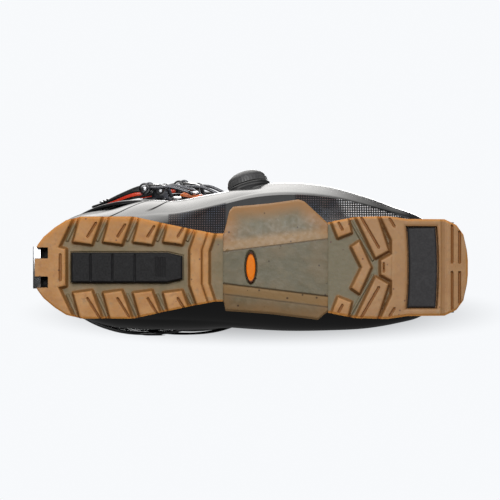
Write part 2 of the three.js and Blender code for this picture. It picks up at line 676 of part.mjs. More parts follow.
// ---------- dial closure ----------
const DIAL = { ring: 7.35, angle: 74 * DEG, base: 17, knob: 15.2, spool: 7.9, lift: 3 };
function shellFrame(u, v) {
  const origin = shellPoint(u, v);
  const outward = shellPoint(u, v, 1).sub(origin).normalize();
  const forward = shellPoint(u - 0.1, v).sub(shellPoint(u + 0.1, v)).normalize();
  const across = new THREE.Vector3().crossVectors(outward, forward).normalize();
  forward.crossVectors(across, outward);
  return new THREE.Matrix4().makeBasis(forward, across, outward).setPosition(origin);
}
const turnedZ = (profile, sides) =>
  new THREE.LatheGeometry(profile.map(([r, h]) => new THREE.Vector2(r, h)), sides).rotateX(Math.PI / 2);

function dialBase() {
  const { base, spool } = DIAL;
  const inner = spool + GAP;
  const profile = [
    [0, -8], [base + 1, -8], [base + 0.6, 1.2], [base - 1.2, 3.6], [inner, 3.6], [inner, 0], [0, 0],
  ];
  const frame = shellFrame(DIAL.ring, DIAL.angle);
  return solid(turnedZ(profile, 24)).transform(frame.elements).subtract(shellSpace);
}
const dialSpool = () =>
  turnedZ([[0, 0.4], [DIAL.spool, 0.4], [DIAL.spool, 5.6], [4.2, 5.6], [4.2, 9.4], [0, 9.4]], 16);
const dialKnob = () =>
  turnedZ(
    [
      [0, 9.8], [4.6, 9.8], [4.6, 6.2], [9, 6.2], [9, 4.2], [14.4, 4.2], [DIAL.knob, 5.6], [DIAL.knob, 10.6],
      [13.2, 13.6], [8.5, 15.6], [0, 16.4],
    ],
    20,
  );

// ---------- lace ----------
const LACE = { radius: 0.9, rides: 5.4 };
// Where each guide sits on the shell: ring number and angle from the top in degrees.
const GUIDES = [[5.95, -44], [7, 44], [8.6, -44], [9.8, 44]];
// The lace leaves the dial, then crosses the instep from guide to guide.
const LACE_ROUTE = [
  [6.95, 59.5], [6.8, 52], [6.55, 38], [6.35, 19], [6.15, 0], [5.95, -18], [5.75, -34], [5.72, -40],
  [5.8, -44.5], [5.95, -46], [6.1, -44.5], [6.18, -40], [6.25, -31], [6.4, -16], [6.5, 0], [6.6, 18],
  [6.7, 34], [6.74, 40],
  [6.85, 44.5], [7, 46], [7.15, 44.5], [7.26, 40], [7.4, 31], [7.65, 16], [7.85, 0], [8.05, -17], [8.22, -34],
  [8.28, -40], [8.4, -45], [8.6, -47], [8.82, -45], [8.93, -40], [9, -31], [9.2, -16], [9.4, 0], [9.6, 17],
  [9.75, 34], [9.8, 42],
];
const INSTEP_CENTRE = new THREE.Vector3(85, 0, 60);
function laceTube(radius, sides) {
  const rides = (v) => LACE.rides - (Math.abs(v) > 50 ? 1.2 : 0); // lower where it enters the dial
  const points = LACE_ROUTE.map(([u, v]) => shellPoint(u, v * DEG, rides(v)));
  const path = new THREE.CatmullRomCurve3(points, false, 'centripetal');
  const steps = 2 * (points.length - 1);
  const rings = [];
  for (let k = 0; k <= steps; k++) {
    const [centre, along] = [path.getPoint(k / steps), path.getTangent(k / steps)];
    const outward = centre.clone().sub(INSTEP_CENTRE);
    outward.addScaledVector(along, -outward.dot(along)).normalize();
    const across = new THREE.Vector3().crossVectors(along, outward);
    const ring = [];
    for (let i = 0; i < sides; i++) {
      const a = (i / sides) * 2 * Math.PI;
      const spoke = outward.clone().multiplyScalar(radius * Math.cos(a));
      ring.push(spoke.addScaledVector(across, radius * Math.sin(a)).add(centre));
    }
    rings.push(ring);
  }
  return loft(rings);
}

function laceGuide([u, v], space) {
  const frame = shellFrame(u, v * DEG);
  const outline = [[-9, 0], [-7, -4.6], [7, -4.6], [9, 0], [7, 4.6], [-7, 4.6]];
  const geometry = new THREE.ExtrudeGeometry(shapeOf(outline), { depth: 12, bevelEnabled: false });
  const block = solid(geometry.translate(0, 0, -5)).transform(frame.elements);
  return largest(block.subtract(shellSpace).subtract(space));
}

// ---------- inside the shell and the cuff ----------
const INSIDE = SHELL_WALL + GAP;
const BOARD_TOP = 23;
const ANKLE_CUT = 84; // radius round the pivot where the liner's foot ends and its leg begins

function linerFoot() {
  const skin = shellLoft(-INSIDE - 0.9, 1.2, 16, 16);
  const aboveFootbed = box(-90, 300, -90, 90, BOARD_TOP + 5, 300);
  const room = shellLoft(-INSIDE - LINER_THICK, 1.7, 12, 14).intersect(aboveFootbed);
  const foot = box(-90, 300, -90, 90, 0, 128);
  const ankle = acrossPivot(ANKLE_CUT, 240).intersect(box(-4, 300, -90, 90, 0, 300));
  const aboveBoard = box(-90, 300, -90, 90, BOARD_TOP + GAP, 300);
  return largest(skin.subtract(room).intersect(foot.add(ankle)).intersect(aboveBoard));
}

// A webbing loop stitched to the back of the liner, to pull the boot on by.
function pullLoop() {
  const [x, z] = [-19.5, 330];
  const loop = (grow) => {
    const shape = new THREE.Shape();
    shape.absellipse(x, z, 4.6 + grow, 14 + grow, 0, 2 * Math.PI);
    const geometry = new THREE.ExtrudeGeometry(shape, { depth: 20, bevelEnabled: false, curveSegments: 12 });
    return solid(geometry.rotateX(Math.PI / 2).translate(0, 10, 0));
  };
  return loop(0).subtract(loop(-2)).intersect(box(-60, 60, -20, 20, 327, 400));
}

// The strap follows the cuff over its outer flap, then comes down on top of its own start.
function powerStrap() {
  const [from, to] = [80 * DEG, 466 * DEG];
  const [low, high, thick] = [262, 286, 1.8];
  return plate(
    (i, j, side) => {
      const turn = from + (to - from) * j;
      const landing = smooth((turn / DEG - 427) / 12) * (FLAP_STEP - thick - 0.6);
      const raise = wrapOffset(turn, FLAP_STEP) + 0.5 - landing;
      return cuffPoint(low + (high - low) * i, turn, raise + side * thick);
    },
    1,
    56,
  );
}

const moved = (frame, x, y, z) => frame.clone().multiply(new THREE.Matrix4().makeTranslation(x, y, z));
const BAIL_EYE_OUT = LEVER.half + 3.6;

// Everything inside the cuff's plain outer surface.
function cuffLoft(offset, low, high, steps, around) {
  const rings = [];
  for (let r = 0; r <= steps; r++) {
    const ring = [];
    for (let i = 0; i < around; i++) {
      ring.push(cuffPoint(low + ((high - low) * r) / steps, ((i + 0.5) / around) * 2 * Math.PI, offset));
    }
    rings.push(ring);
  }
  return loft(rings);
}

function cuffLining(low, high, from, to, outer, thick, rows, columns) {
  return plate(
    (i, j, side) => cuffPoint(low + (high - low) * i, from + (to - from) * j, outer - side * thick),
    rows,
    columns,
  );
}

// ---------- materials ----------
const paint = (color, roughness, metalness = 0) =>
  new THREE.MeshStandardMaterial({ color, roughness, metalness });
const MATERIALS = {
  shell: paint(0x111214, 0.18),
  cuff: paint(0x131416, 0.2),
  gum: paint(0xb98550, 0.6),
  archGum: paint(0x8f7f5c, 0.5),
  pad: paint(0x2b2b2e, 0.6),
  orange: paint(0xf2761d, 0.45),
  steel: paint(0xb9bcc0, 0.25, 1),
  darkMetal: paint(0x1c1c1f, 0.35, 0.8),
  dial: paint(0x3a3b3d, 0.5),
  lace: paint(0x8d9094, 0.4, 0.6),
  liner: paint(0x1b1b1d, 0.85),
  webbing: paint(0x161617, 0.9),
  board: paint(0x55575a, 0.7),
};

const boot = new THREE.Group();
function add(name, material, body, matrix) {
  const mesh = new THREE.Mesh(body.isBufferGeometry ? body : geometryOf(body), MATERIALS[material]);
  mesh.name = name;
  if (matrix) mesh.applyMatrix4(matrix);
  boot.add(mesh);
  return mesh;
}

// ---------- lower shell and sole ----------
const shellSpace = shellLoft(GAP);
const COLLAR_CUT = [
  [-90, 145], [-44, 143], [-34, 137], [-10, 134], [40, 138], [62, 148], [110, 156], [110, 260], [-90, 260],
];

function lowerShell() {
  const hollow = shellLoft(0).subtract(shellLoft(-SHELL_WALL, 0.9));
  const throat = prism([[52, -17], [104, -17], [112, -10], [112, 10], [104, 17], [52, 17]], 85, 260);
  const screwHole = alongX(-80, -40, HEEL_SCREW.z, HEEL_SCREW.stem + GAP);
  const cuts = [sidePrism(COLLAR_CUT), throat, acrossPivot(PIVOT_BOLT.stem + GAP, 240), screwHole];
  return largest(cuts.reduce((body, cut) => body.subtract(cut), hollow));
}

function instepFlap() {
  const surface = (i, j, side) => shellPoint(5.2 + 9.4 * i, (-36 + 72 * j) * DEG, 3.4 - 2.6 * side);
  const band = plate(surface, 14, 8);
  return largest(band.subtract(sidePrism([[60, 152], [110, 160], [110, 220], [60, 220]])));
}

const HEEL_SCREW = { z: 26, stem: 2.3, head: 4.4 };
function alongX(x0, x1, z, radius, sides = 16) {
  const cylinder = new THREE.CylinderGeometry(radius, radius, x1 - x0, sides);
  return solid(cylinder.rotateZ(Math.PI / 2).translate((x0 + x1) / 2, 0, z));
}

function heelInsert() {
  const plateBody = box(-67.2, -56, -15, 15, 7, 34).subtract(box(-61.6, -50, -20, 20, 0, HEEL_TOP + GAP));
  const slots = [-10.4, 10.4].map((y) => box(-80, -61, y - 2.6, y + 2.6, 11, 22));
  const headRoom = alongX(-80, -64.4, HEEL_SCREW.z, HEEL_SCREW.head + GAP);
  return slots
    .reduce((body, slot) => body.subtract(slot), plateBody)
    .subtract(headRoom)
    .subtract(alongX(-80, -40, HEEL_SCREW.z, HEEL_SCREW.stem + GAP))
    .subtract(shellSpace);
}
const heelScrew = () =>
  alongX(-67, -64.8, HEEL_SCREW.z, HEEL_SCREW.head)
    .add(alongX(-65, -53, HEEL_SCREW.z, HEEL_SCREW.stem))
    .subtract(alongX(-68, -66, HEEL_SCREW.z, 2, 6)); // hexagonal socket

add('lower_shell', 'shell', lowerShell());
add('instep_flap', 'shell', instepFlap());
add('heel_outsole', 'gum', largest(heelOutsole(shellSpace)));
add('arch_outsole', 'archGum', archOutsole(shellSpace));
add('toe_outsole', 'gum', largest(toeOutsole(shellSpace)));
add('heel_pad', 'pad', prism(heelPadOutline(0), 0, LUG_HEIGHT));
add('toe_pad', 'pad', prism(toePadOutline(0), TOE_PAD.bottom, TOE_PAD.top));
const aboveBadgeFace = box(60, 120, -20, 20, archSurface(BADGE.x, 0) - 0.8, 40);
add('sole_badge', 'orange', badgeBlank(0, 2).intersect(aboveBadgeFace));
add('heel_insert', 'steel', heelInsert());
add('heel_insert_screw', 'darkMetal', heelScrew());
add('toe_insert_lateral', 'steel', toeInsert(-1));
add('toe_insert_medial', 'steel', toeInsert(1));

// ---------- inside the shell ----------
const insideShell = shellLoft(-INSIDE - 0.2, 0.9);
add('boot_board', 'board', insideShell.intersect(box(-90, 300, -90, 90, 0, BOARD_TOP)));
add('liner_foot', 'liner', linerFoot());
const footbedBlank = shellLoft(-INSIDE - LINER_THICK - 1.2, 2, 12, 14);
add('footbed', 'board', footbedBlank.intersect(box(-90, 300, -90, 90, BOARD_TOP + 5 + GAP, BOARD_TOP + 10)));

// ---------- dial, lace and guides ----------
const dialFrame = shellFrame(DIAL.ring, DIAL.angle);
const laceSpace = laceTube(LACE.radius + 1.2 * GAP, 8);
add('dial_base', 'dial', largest(dialBase().subtract(laceSpace)));
add('dial_spool', 'steel', dialSpool(), dialFrame);
add('dial_knob', 'dial', dialKnob(), dialFrame);
add('dial_lace', 'lace', laceTube(LACE.radius, 6));
GUIDES.forEach((guide, i) => add(`lace_guide_${i + 1}`, 'shell', laceGuide(guide, laceSpace)));

// ---------- ankle hinge and walk lock ----------
add('pivot_bolt_lateral', 'darkMetal', pivotBolt(-1));
add('pivot_bolt_medial', 'darkMetal', pivotBolt(1));
add('lock_plate', 'darkMetal', largest(lockPlate()));
add('lock_pin', 'steel', acrossAt(PIN_AT.x, PIN_AT.z, LOCK.pin.radius, 2 * LOCK.cheek.outer, 16));

// ---------- cuff ----------
const cuff = cuffBody();
const cuffSpace = cuffLoft(GAP, 60, 318, 14, 60);
add('cuff', 'cuff', cuff);

const LINER_BACK = CUFF_WALL + 1;
const tube = cuffLining(120, 318, 30 * DEG, 330 * DEG, -LINER_BACK, LINER_THICK, 4, 24);
const footSpace = acrossPivot(ANKLE_CUT + 6, 240);
add('liner_cuff', 'liner', largest(tube.subtract(footSpace)));
const tongue = cuffLining(150, 326, -27 * DEG, 27 * DEG, -LINER_BACK - 2.4, LINER_THICK, 4, 6);
add('liner_tongue', 'liner', largest(tongue.subtract(footSpace)));
add('pull_loop', 'webbing', pullLoop());
add('power_strap', 'webbing', powerStrap());

// ---------- buckles ----------
BUCKLES.forEach((buckle) => {
  const frame = cuffFrame(buckle.level, buckle.turn);
  const local = frame.clone().invert();
  const leg = cuffSpace.transform(local.elements);
  const at = (piece) => `${buckle.name}_${piece}`;
  add(at('bracket'), 'darkMetal', largest(buckleBracket(buckle, leg)), frame);
  add(at('lever_pin'), 'steel', domedPin(1.9, CHEEK.outer + 0.3, 3.4), moved(frame, 0, -PIN_OUT, 0));
  add(at('lever'), 'darkMetal', buckleLever(buckle), frame);
  const bailPinAt = moved(frame, -LEVER.bailBack, -LEVER.bailOut, 0);
  add(at('bail_pin'), 'steel', domedPin(1.6, BAIL_EYE_OUT, 3), bailPinAt);
  add(at('bail'), 'steel', buckleBail(buckle), frame);
  add(at('ladder'), 'orange', buckleLadder(buckle), frame);
  LADDER.rivets.forEach((distance, i) => {
    add(at(`ladder_rivet_${i + 1}`), 'steel', ladderRivet(), ladderRivetFrame(buckle, distance));
  });
});

// ---------- walk lever ----------
add('lever_bracket', 'darkMetal', largest(leverBracket(cuffSpace)));
const axle = ({ axleX, axleZ, axleRadius }, length) => acrossAt(axleX, axleZ, axleRadius, length, 16);
add('lever_axle', 'steel', axle(LOCK.lever, 2 * LOCK.lever.halfWidth + 5));
add('bar_axle', 'steel', axle(LOCK.bar, 2 * LOCK.cheek.outer));
add('lock_bar', 'steel', lockBar());
add('walk_lever', 'darkMetal', walkLever());

export default boot;
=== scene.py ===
import math

import bmesh
import bpy
import numpy as np
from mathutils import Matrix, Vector
from mathutils.bvhtree import BVHTree


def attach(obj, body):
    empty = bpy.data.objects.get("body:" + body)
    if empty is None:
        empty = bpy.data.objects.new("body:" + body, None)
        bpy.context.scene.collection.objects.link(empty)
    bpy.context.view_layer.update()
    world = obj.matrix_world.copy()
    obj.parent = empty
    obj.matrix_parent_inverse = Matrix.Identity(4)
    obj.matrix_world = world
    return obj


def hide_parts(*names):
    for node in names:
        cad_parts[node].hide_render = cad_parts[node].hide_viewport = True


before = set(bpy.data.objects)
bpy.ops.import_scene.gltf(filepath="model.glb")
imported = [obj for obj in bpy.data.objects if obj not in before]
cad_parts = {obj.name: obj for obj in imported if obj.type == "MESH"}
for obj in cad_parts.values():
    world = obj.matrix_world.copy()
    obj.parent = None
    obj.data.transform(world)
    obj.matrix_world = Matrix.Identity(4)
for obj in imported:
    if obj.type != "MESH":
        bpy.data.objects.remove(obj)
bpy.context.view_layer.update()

# A right-foot alpine touring ski boot. +X is the toe, +Y the medial side, +Z up, as in the frame.
# Sizes are in millimetres here and become metres in mesh_object(), make_camera() and make_lamp().
# In the materials, sizes of noise and bumps are millimetres too, and coordinates are metres.
MM = 0.001


# ---------- numbers ----------
def smooth(share):
    s = np.clip(share, 0.0, 1.0)
    return s * s * (3 - 2 * s)


def ramp(value, start, end):
    """0 before start, 1 after end, smooth between."""
    return smooth((np.asarray(value, float) - start) / (end - start))


def power(value, exponent):
    return np.sign(value) * np.abs(value) ** exponent


def table_row(table, u):
    """Uniform Catmull-Rom through the rows of a table, at row numbers u; the last axis holds the columns."""
    rows = np.asarray(table, float)
    last = len(rows) - 1
    u = np.asarray(u, float)
    i = np.clip(np.floor(u).astype(int), 0, last - 1)
    f = (u - i)[..., None]
    p0, p1, p2, p3 = (rows[np.clip(i + k, 0, last)] for k in (-1, 0, 1, 2))
    bend = 2 * p0 - 5 * p1 + 4 * p2 - p3
    twist = -p0 + 3 * p1 - 3 * p2 + p3
    return 0.5 * (2 * p1 + f * (p2 - p0 + f * (bend + f * twist)))


def look_up(table, value):
    """The same, where the first column is the variable."""
    rows = np.asarray(table, float)
    return table_row(rows[:, 1:], np.interp(value, rows[:, 0], np.arange(len(rows))))


def unit(vectors):
    return vectors / np.maximum(np.linalg.norm(vectors, axis=-1, keepdims=True), 1e-9)


def off_surface(surface, a, b, offset, da, db):
    """Points moved off a surface along its outward normal."""
    along_a = surface(a + da, b) - surface(a - da, b)
    along_b = surface(a, b + db) - surface(a, b - db)
    return surface(a, b) + unit(np.cross(along_a, along_b)) * np.asarray(offset, float)[..., None]


def piece_distance(start, end, x, y):
    """Distance in plan to the straight piece from start to end."""
    (ax, ay), (ex, ey) = start, np.subtract(end, start)
    t = np.clip(((x - ax) * ex + (y - ay) * ey) / (ex * ex + ey * ey), 0, 1)
    return np.hypot(x - ax - t * ex, y - ay - t * ey)


def line_distance(points, x, y):
    """Distance in plan to an open line."""
    return np.min([piece_distance(a, b, x, y) for a, b in zip(points, points[1:])], axis=0)


def inside_distance(outline, x, y):
    """Distance in plan to a closed outline, negative inside it."""
    sides = list(zip(outline, np.roll(outline, -1, axis=0)))
    nearest = np.min([piece_distance(a, b, x, y) for a, b in sides], axis=0)
    inside = np.zeros(np.shape(x), bool)
    for (ax, ay), (bx, by) in sides:
        if by != ay:
            inside ^= ((ay > y) != (by > y)) & (x < ax + (y - ay) * (bx - ax) / (by - ay))
    return np.where(inside, -nearest, nearest)


# ---------- meshes ----------
def grid_faces(rows, columns, start=0, closed=False, flip=False):
    """Quads over a grid of points numbered from start, row by row; closed joins its last and first column."""
    i, j = np.meshgrid(np.arange(rows - 1), np.arange(columns if closed else columns - 1), indexing="ij")
    this, after, right = i * columns, (i + 1) * columns, (j + 1) % columns
    quads = np.stack([this + j, this + right, after + right, after + j], -1).reshape(-1, 4) + start
    return quads[:, :: -1 if flip else 1].tolist()


def zipper(first, second):
    """Triangles between two lines of point numbers with different counts."""
    faces = []
    i = j = 0
    while i < len(first) - 1 or j < len(second) - 1:
        ahead = j == len(second) - 1 or (i < len(first) - 1 and i / (len(first) - 1) <= j / (len(second) - 1))
        if ahead:
            faces.append((first[i], first[i + 1], second[j]))
            i += 1
        else:
            faces.append((first[i], second[j + 1], second[j]))
            j += 1
    return faces


def linked(name, mesh):
    """A new object of the scene with this mesh."""
    obj = bpy.data.objects.new(name, mesh)
    bpy.context.scene.collection.objects.link(obj)
    return obj


def shade_smooth(mesh, sharp):
    """Smooth shading, but for edges sharper than an angle in degrees."""
    mesh.polygons.foreach_set("use_smooth", [True] * len(mesh.polygons))
    mesh.set_sharp_from_angle(angle=math.radians(sharp))


def add_attributes(mesh, attributes):
    """One number a point for each attribute, which the material reads."""
    for label, values in attributes.items():
        layer = mesh.attributes.new(label, "FLOAT", "POINT")
        layer.data.foreach_set("value", np.asarray(values, np.float32).ravel())


def mesh_object(name, points, faces, material, sharp=40.0, attributes=None):
    """An object from points in millimetres."""
    mesh = bpy.data.meshes.new(name)
    mesh.from_pydata((np.asarray(points, float) * MM).tolist(), [], faces)
    mesh.validate()
    tool = bmesh.new()
    tool.from_mesh(mesh)
    bmesh.ops.recalc_face_normals(tool, faces=tool.faces)
    tool.to_mesh(mesh)
    tool.free()
    add_attributes(mesh, attributes or {})
    mesh.materials.append(material)
    shade_smooth(mesh, sharp)
    return linked(name, mesh)


def stands_for(obj, body, slot, *nodes):
    """obj rides on a body and replaces CAD nodes. slot is not used."""
    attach(obj, body)
    if nodes:
        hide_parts(*nodes)
    return obj


def swept_loop(name, loops, material, sharp=40.0, attributes=None, ring=False):
    """A solid through closed loops of points, of shape (stations, points, 3): capped at both ends, or with
    its last loop joined to its first."""
    stations, count, _ = loops.shape
    last = (stations - 1) * count
    faces = grid_faces(stations, count, closed=True)
    if ring:
        faces += [(last + k, last + (k + 1) % count, (k + 1) % count, k) for k in range(count)]
    else:
        faces += [tuple(range(count)), tuple(range(last, last + count))]
    return mesh_object(name, loops.reshape(-1, 3), faces, material, sharp, attributes)


def closed_plate(name, outer, inner, material, sharp=45):
    """A plate between two grids of points of the same shape (rows, columns, 3)."""
    rows, columns, _ = outer.shape
    count = rows * columns
    faces = grid_faces(rows, columns) + grid_faces(rows, columns, start=count, flip=True)
    number = np.arange(count).reshape(rows, columns)
    rim = np.concatenate([number[0], number[1:, -1], number[-1, -2::-1], number[-2:0:-1, 0]]).tolist()
    faces += [(a, b, b + count, a + count) for a, b in zip(rim, rim[1:] + rim[:1])]
    points = np.concatenate([outer.reshape(-1, 3), inner.reshape(-1, 3)])
    return mesh_object(name, points, faces, material, sharp)


def bvh_of(obj):
    """A tree over an object's own mesh, for casting rays in millimetres."""
    points = [tuple(v.co / MM) for v in obj.data.vertices]
    return BVHTree.FromPolygons(points, [tuple(p.vertices) for p in obj.data.polygons])


# ---------- materials ----------
class Paint:
    """A procedural material under construction; its coordinates are the frame's own, in metres at rest."""

    def __init__(self, name, **values):
        self.material = bpy.data.materials.new(name)
        self.material.use_nodes = True
        self.tree = self.material.node_tree
        self.shader = self.tree.nodes["Principled BSDF"]
        for label, value in values.items():
            self.set(label.replace("_", " "), value)
        self.place = self.node("ShaderNodeTexCoord").outputs["Object"]

    def node(self, kind, **settings):
        made = self.tree.nodes.new(kind)
        for label, value in settings.items():
            setattr(made, label, value)
        return made

    def feed(self, socket, value):
        """Links a socket to a node's output, or gives it a value or the colour of a hex code."""
        if isinstance(value, bpy.types.NodeSocket):
            self.tree.links.new(value, socket)
        else:
            socket.default_value = rgb(value) if isinstance(value, str) else value

    def set(self, label, value):
        self.feed(self.shader.inputs[label], value)

    def show(self, output):
        """Makes an output the surface, in place of the shader's own."""
        self.feed(self.tree.nodes["Material Output"].inputs["Surface"], output)

    def math(self, operation, *values, clamp=False):
        made = self.node("ShaderNodeMath", operation=operation, use_clamp=clamp)
        for socket, value in zip(made.inputs, values):
            self.feed(socket, value)
        return made.outputs[0]

    def times(self, product, *others):
        for other in others:
            product = self.math("MULTIPLY", product, other)
        return product

    def between(self, value, start, end, low=0.0, high=1.0):
        """value from start..end to low..high, clamped and smooth."""
        made = self.node("ShaderNodeMapRange", interpolation_type="SMOOTHSTEP")
        for socket, number in zip(made.inputs, (value, start, end, low, high)):
            self.feed(socket, number)
        return made.outputs["Result"]

    def near(self, value, target, outer, inner):
        """1 where value is within inner of target, 0 beyond outer."""
        return self.between(self.math("ABSOLUTE", self.math("SUBTRACT", value, target)), outer, inner)

    def oval(self, coordinates, centre, halves):
        """0 in the middle of an oval, 1 along it and more outside."""
        squares = []
        for value, middle, half in zip(coordinates, centre, halves):
            away = self.times(self.math("SUBTRACT", value, middle), 1 / half)
            squares.append(self.times(away, away))
        return self.math("SQRT", self.math("ADD", *squares))

    def wave(self, coordinate, pitch):
        """0 to 1 and back once in every pitch of a coordinate."""
        sine = self.math("SINE", self.times(coordinate, 2 * math.pi / pitch))
        return self.math("MULTIPLY_ADD", sine, 0.5, 0.5)

    def attribute(self, name):
        return self.node("ShaderNodeAttribute", attribute_name=name).outputs["Fac"]

    def axes(self):
        """The coordinates x, y and z."""
        made = self.node("ShaderNodeSeparateXYZ")
        self.feed(made.inputs[0], self.place)
        return made.outputs

    def noise(self, size, detail=3.0, roughness=0.5, source=None):
        """Noise whose blotches are about size millimetres across."""
        made = self.node("ShaderNodeTexNoise")
        self.feed(made.inputs["Vector"], source or self.place)
        for label, value in (("Scale", 1 / (size * MM)), ("Detail", detail), ("Roughness", roughness)):
            made.inputs[label].default_value = value
        return made.outputs["Fac"]

    def blotches(self, size, detail, start=0.35, end=0.7, low=0.0, high=1.0):
        """Noise spread out over low..high."""
        return self.between(self.noise(size, detail), start, end, low, high)

    def specks(self, spacing, radius, strength):
        """strength inside specks scattered over the plan, 0 elsewhere."""
        plan = self.node("ShaderNodeVectorMath", operation="MULTIPLY")
        self.feed(plan.inputs[0], self.place)
        plan.inputs[1].default_value = (1.0, 1.0, 0.0)
        made = self.node("ShaderNodeTexVoronoi")
        self.feed(made.inputs["Vector"], plan.outputs[0])
        made.inputs["Scale"].default_value = 1 / (spacing * MM)
        return self.between(made.outputs["Distance"], radius / spacing * 0.6, radius / spacing, strength, 0.0)

    def mix(self, factor, a, b):
        made = self.node("ShaderNodeMix", data_type="RGBA", clamp_factor=True)
        for number, value in ((0, factor), (6, a), (7, b)):
            self.feed(made.inputs[number], value)
        return made.outputs[2]

    def layers(self, colour, *coats):
        """A colour with coats (factor, colour) laid over it in turn."""
        for factor, coat in coats:
            colour = self.mix(factor, colour, coat)
        return colour

    def bump(self, height, distance):
        """Bump of a height from 0 to 1 that stands for distance millimetres, on top of any before it."""
        made = self.node("ShaderNodeBump")
        self.feed(made.inputs["Height"], height)
        made.inputs["Distance"].default_value = distance * MM
        made.inputs["Strength"].default_value = 1.0
        normal = self.shader.inputs["Normal"]
        if normal.is_linked:
            self.feed(made.inputs["Normal"], normal.links[0].from_socket)
        self.feed(normal, made.outputs["Normal"])

    def finished(self, colour, roughness, *bumps):
        """The material, with its colour, its roughness and bumps (height, distance)."""
        self.set("Base Color", colour)
        self.set("Roughness", roughness)
        for height, distance in bumps:
            self.bump(height, distance)
        return self.material


def rgb(code):
    """Linear colour from a hex code."""
    parts = [int(code[i : i + 2], 16) / 255 for i in (0, 2, 4)]
    return tuple(p / 12.92 if p <= 0.04045 else ((p + 0.055) / 1.055) ** 2.4 for p in parts) + (1.0,)


def gum_rubber():
    """Tan gum: greyer and darker between the lugs, darker on the lug walls (partly painted shade), orange at
    the edges (wider on the lateral side, where it is partly painted light), scattered brown flecks.
    """
    paint = Paint(
        "gum rubber", Subsurface_Weight=0.08, Subsurface_Scale=0.003, Subsurface_Radius=(1.0, 0.5, 0.2),
    )
    x = paint.axes()[0]
    lugs = paint.layers(
        "C58C50", (paint.blotches(14, 4, 0.35, 0.65), "D29C62"),
        (paint.blotches(3.5, 4, 0.45, 0.8, 0.0, 0.7), "B0774A"),
        (paint.blotches(7, 3, 0.55, 0.75, 0.0, 0.45), "A8906C"),
        (paint.between(x, 0.13, 0.18, 0.0, 0.55), "AC8966"),
    )
    deep = paint.layers(
        "857657", (paint.blotches(9, 3, 0.3, 0.7), "978262"),
        (paint.between(x, 0.13, 0.142, 0.0, 0.9), "827A62"),
    )
    # The lug walls' darker orange-brown is partly the rubber's own colour and partly painted shade.
    colour = paint.layers(
        lugs, (paint.attribute("depth"), deep), (paint.times(paint.attribute("wall"), 0.8), "8E6030"),
        (paint.attribute("rim"), "DE9440"), (paint.attribute("sipe"), "94602C"),
        (paint.specks(8, 0.8, 0.8), "6A4238"), (paint.specks(5.3, 0.4, 0.45), "7A5030"),
        (paint.attribute("notch"), "0C0B0A"),
    )
    rough = paint.blotches(2.5, 5, 0.3, 0.7, 0.46, 0.66)
    return paint.finished(colour, rough, (paint.noise(0.9, 4), 0.06), (paint.noise(6, 2), 0.3))


def arch_rubber():
    """The same rubber over a dark core: olive-grey in the middle, brown on the bevels, orange at the edge
    (stronger on the lateral side as painted light), a dark line along the bevel's crease and a painted shadow
    line.
    """
    paint = Paint(
        "arch rubber", Subsurface_Weight=0.05, Subsurface_Scale=0.003, Subsurface_Radius=(1.0, 0.6, 0.3),
    )
    # "line" holds a dark line along the bevel's crease and a painted shadow line on the medial side.
    colour = paint.layers(
        "746E58", (paint.blotches(16, 4, 0.35, 0.65), "82745A"),
        (paint.blotches(6, 3, 0.5, 0.75, 0.0, 0.6), "8A8068"), (paint.attribute("bevel"), "A3835A"),
        (paint.attribute("rim"), "B07A42"), (paint.attribute("line"), "4E4130"),
        (paint.specks(8, 0.95, 0.8), "45352B"), (paint.specks(6, 0.5, 0.6), "4A3B2A"),
    )
    rough = paint.blotches(3, 5, 0.3, 0.7, 0.34, 0.55)
    return paint.finished(colour, rough, (paint.noise(1.1, 4), 0.06), (paint.noise(8, 2), 0.4))


def pad_rubber(name, code, lighter):
    """Dark moulded contact rubber with a fine grain."""
    paint = Paint(name, Specular_IOR_Level=0.35)
    colour = paint.mix(paint.blotches(5, 5, 0.45, 0.8), code, lighter)
    return paint.finished(colour, paint.blotches(1.2, 4, 0.3, 0.7, 0.5, 0.72), (paint.noise(0.35, 3), 0.04))


def badge_plastic():
    """Matt orange with a dark rim."""
    paint = Paint("badge plastic", Specular_IOR_Level=0.25)
    orange = paint.mix(paint.blotches(1.5, 3, 0.4, 0.7), "FF8C0C", "FF7E06")
    colour = paint.mix(paint.attribute("rim"), orange, "3A1C10")
    return paint.finished(colour, 0.5, (paint.noise(0.5, 2), 0.03))


def moulded(name, code, lighter, roughness, coat=0.0, grain=0.02, grain_size=0.5):
    """Moulded or coated material: two close shades in soft blotches, roughness that varies, fine grain."""
    paint = Paint(name, Coat_Weight=coat, Coat_Roughness=0.08)
    colour = paint.mix(paint.blotches(8, 4), code, lighter)
    rough = paint.blotches(3, 4, 0.3, 0.7, roughness * 0.8, roughness * 1.25)
    return paint.finished(colour, rough, (paint.noise(grain_size, 3), grain))


def metal(name, code, roughness, brushed=(1.0, 1.0, 1.0)):
    """Bare or plated metal with fine brushing along one direction and darker handling marks."""
    paint = Paint(name, Metallic=1.0)
    stretched = paint.node("ShaderNodeMapping")
    paint.feed(stretched.inputs["Vector"], paint.place)
    stretched.inputs["Scale"].default_value = brushed
    lines = paint.noise(0.6, 3, source=stretched.outputs[0])
    darker = tuple(c * 0.45 for c in rgb(code)[:3]) + (1.0,)
    colour = paint.mix(paint.blotches(4, 4, 0.5, 0.8, 0.0, 0.35), code, darker)
    rough = paint.between(lines, 0.3, 0.7, roughness * 0.7, roughness * 1.3)
    return paint.finished(colour, rough, (lines, 0.01))


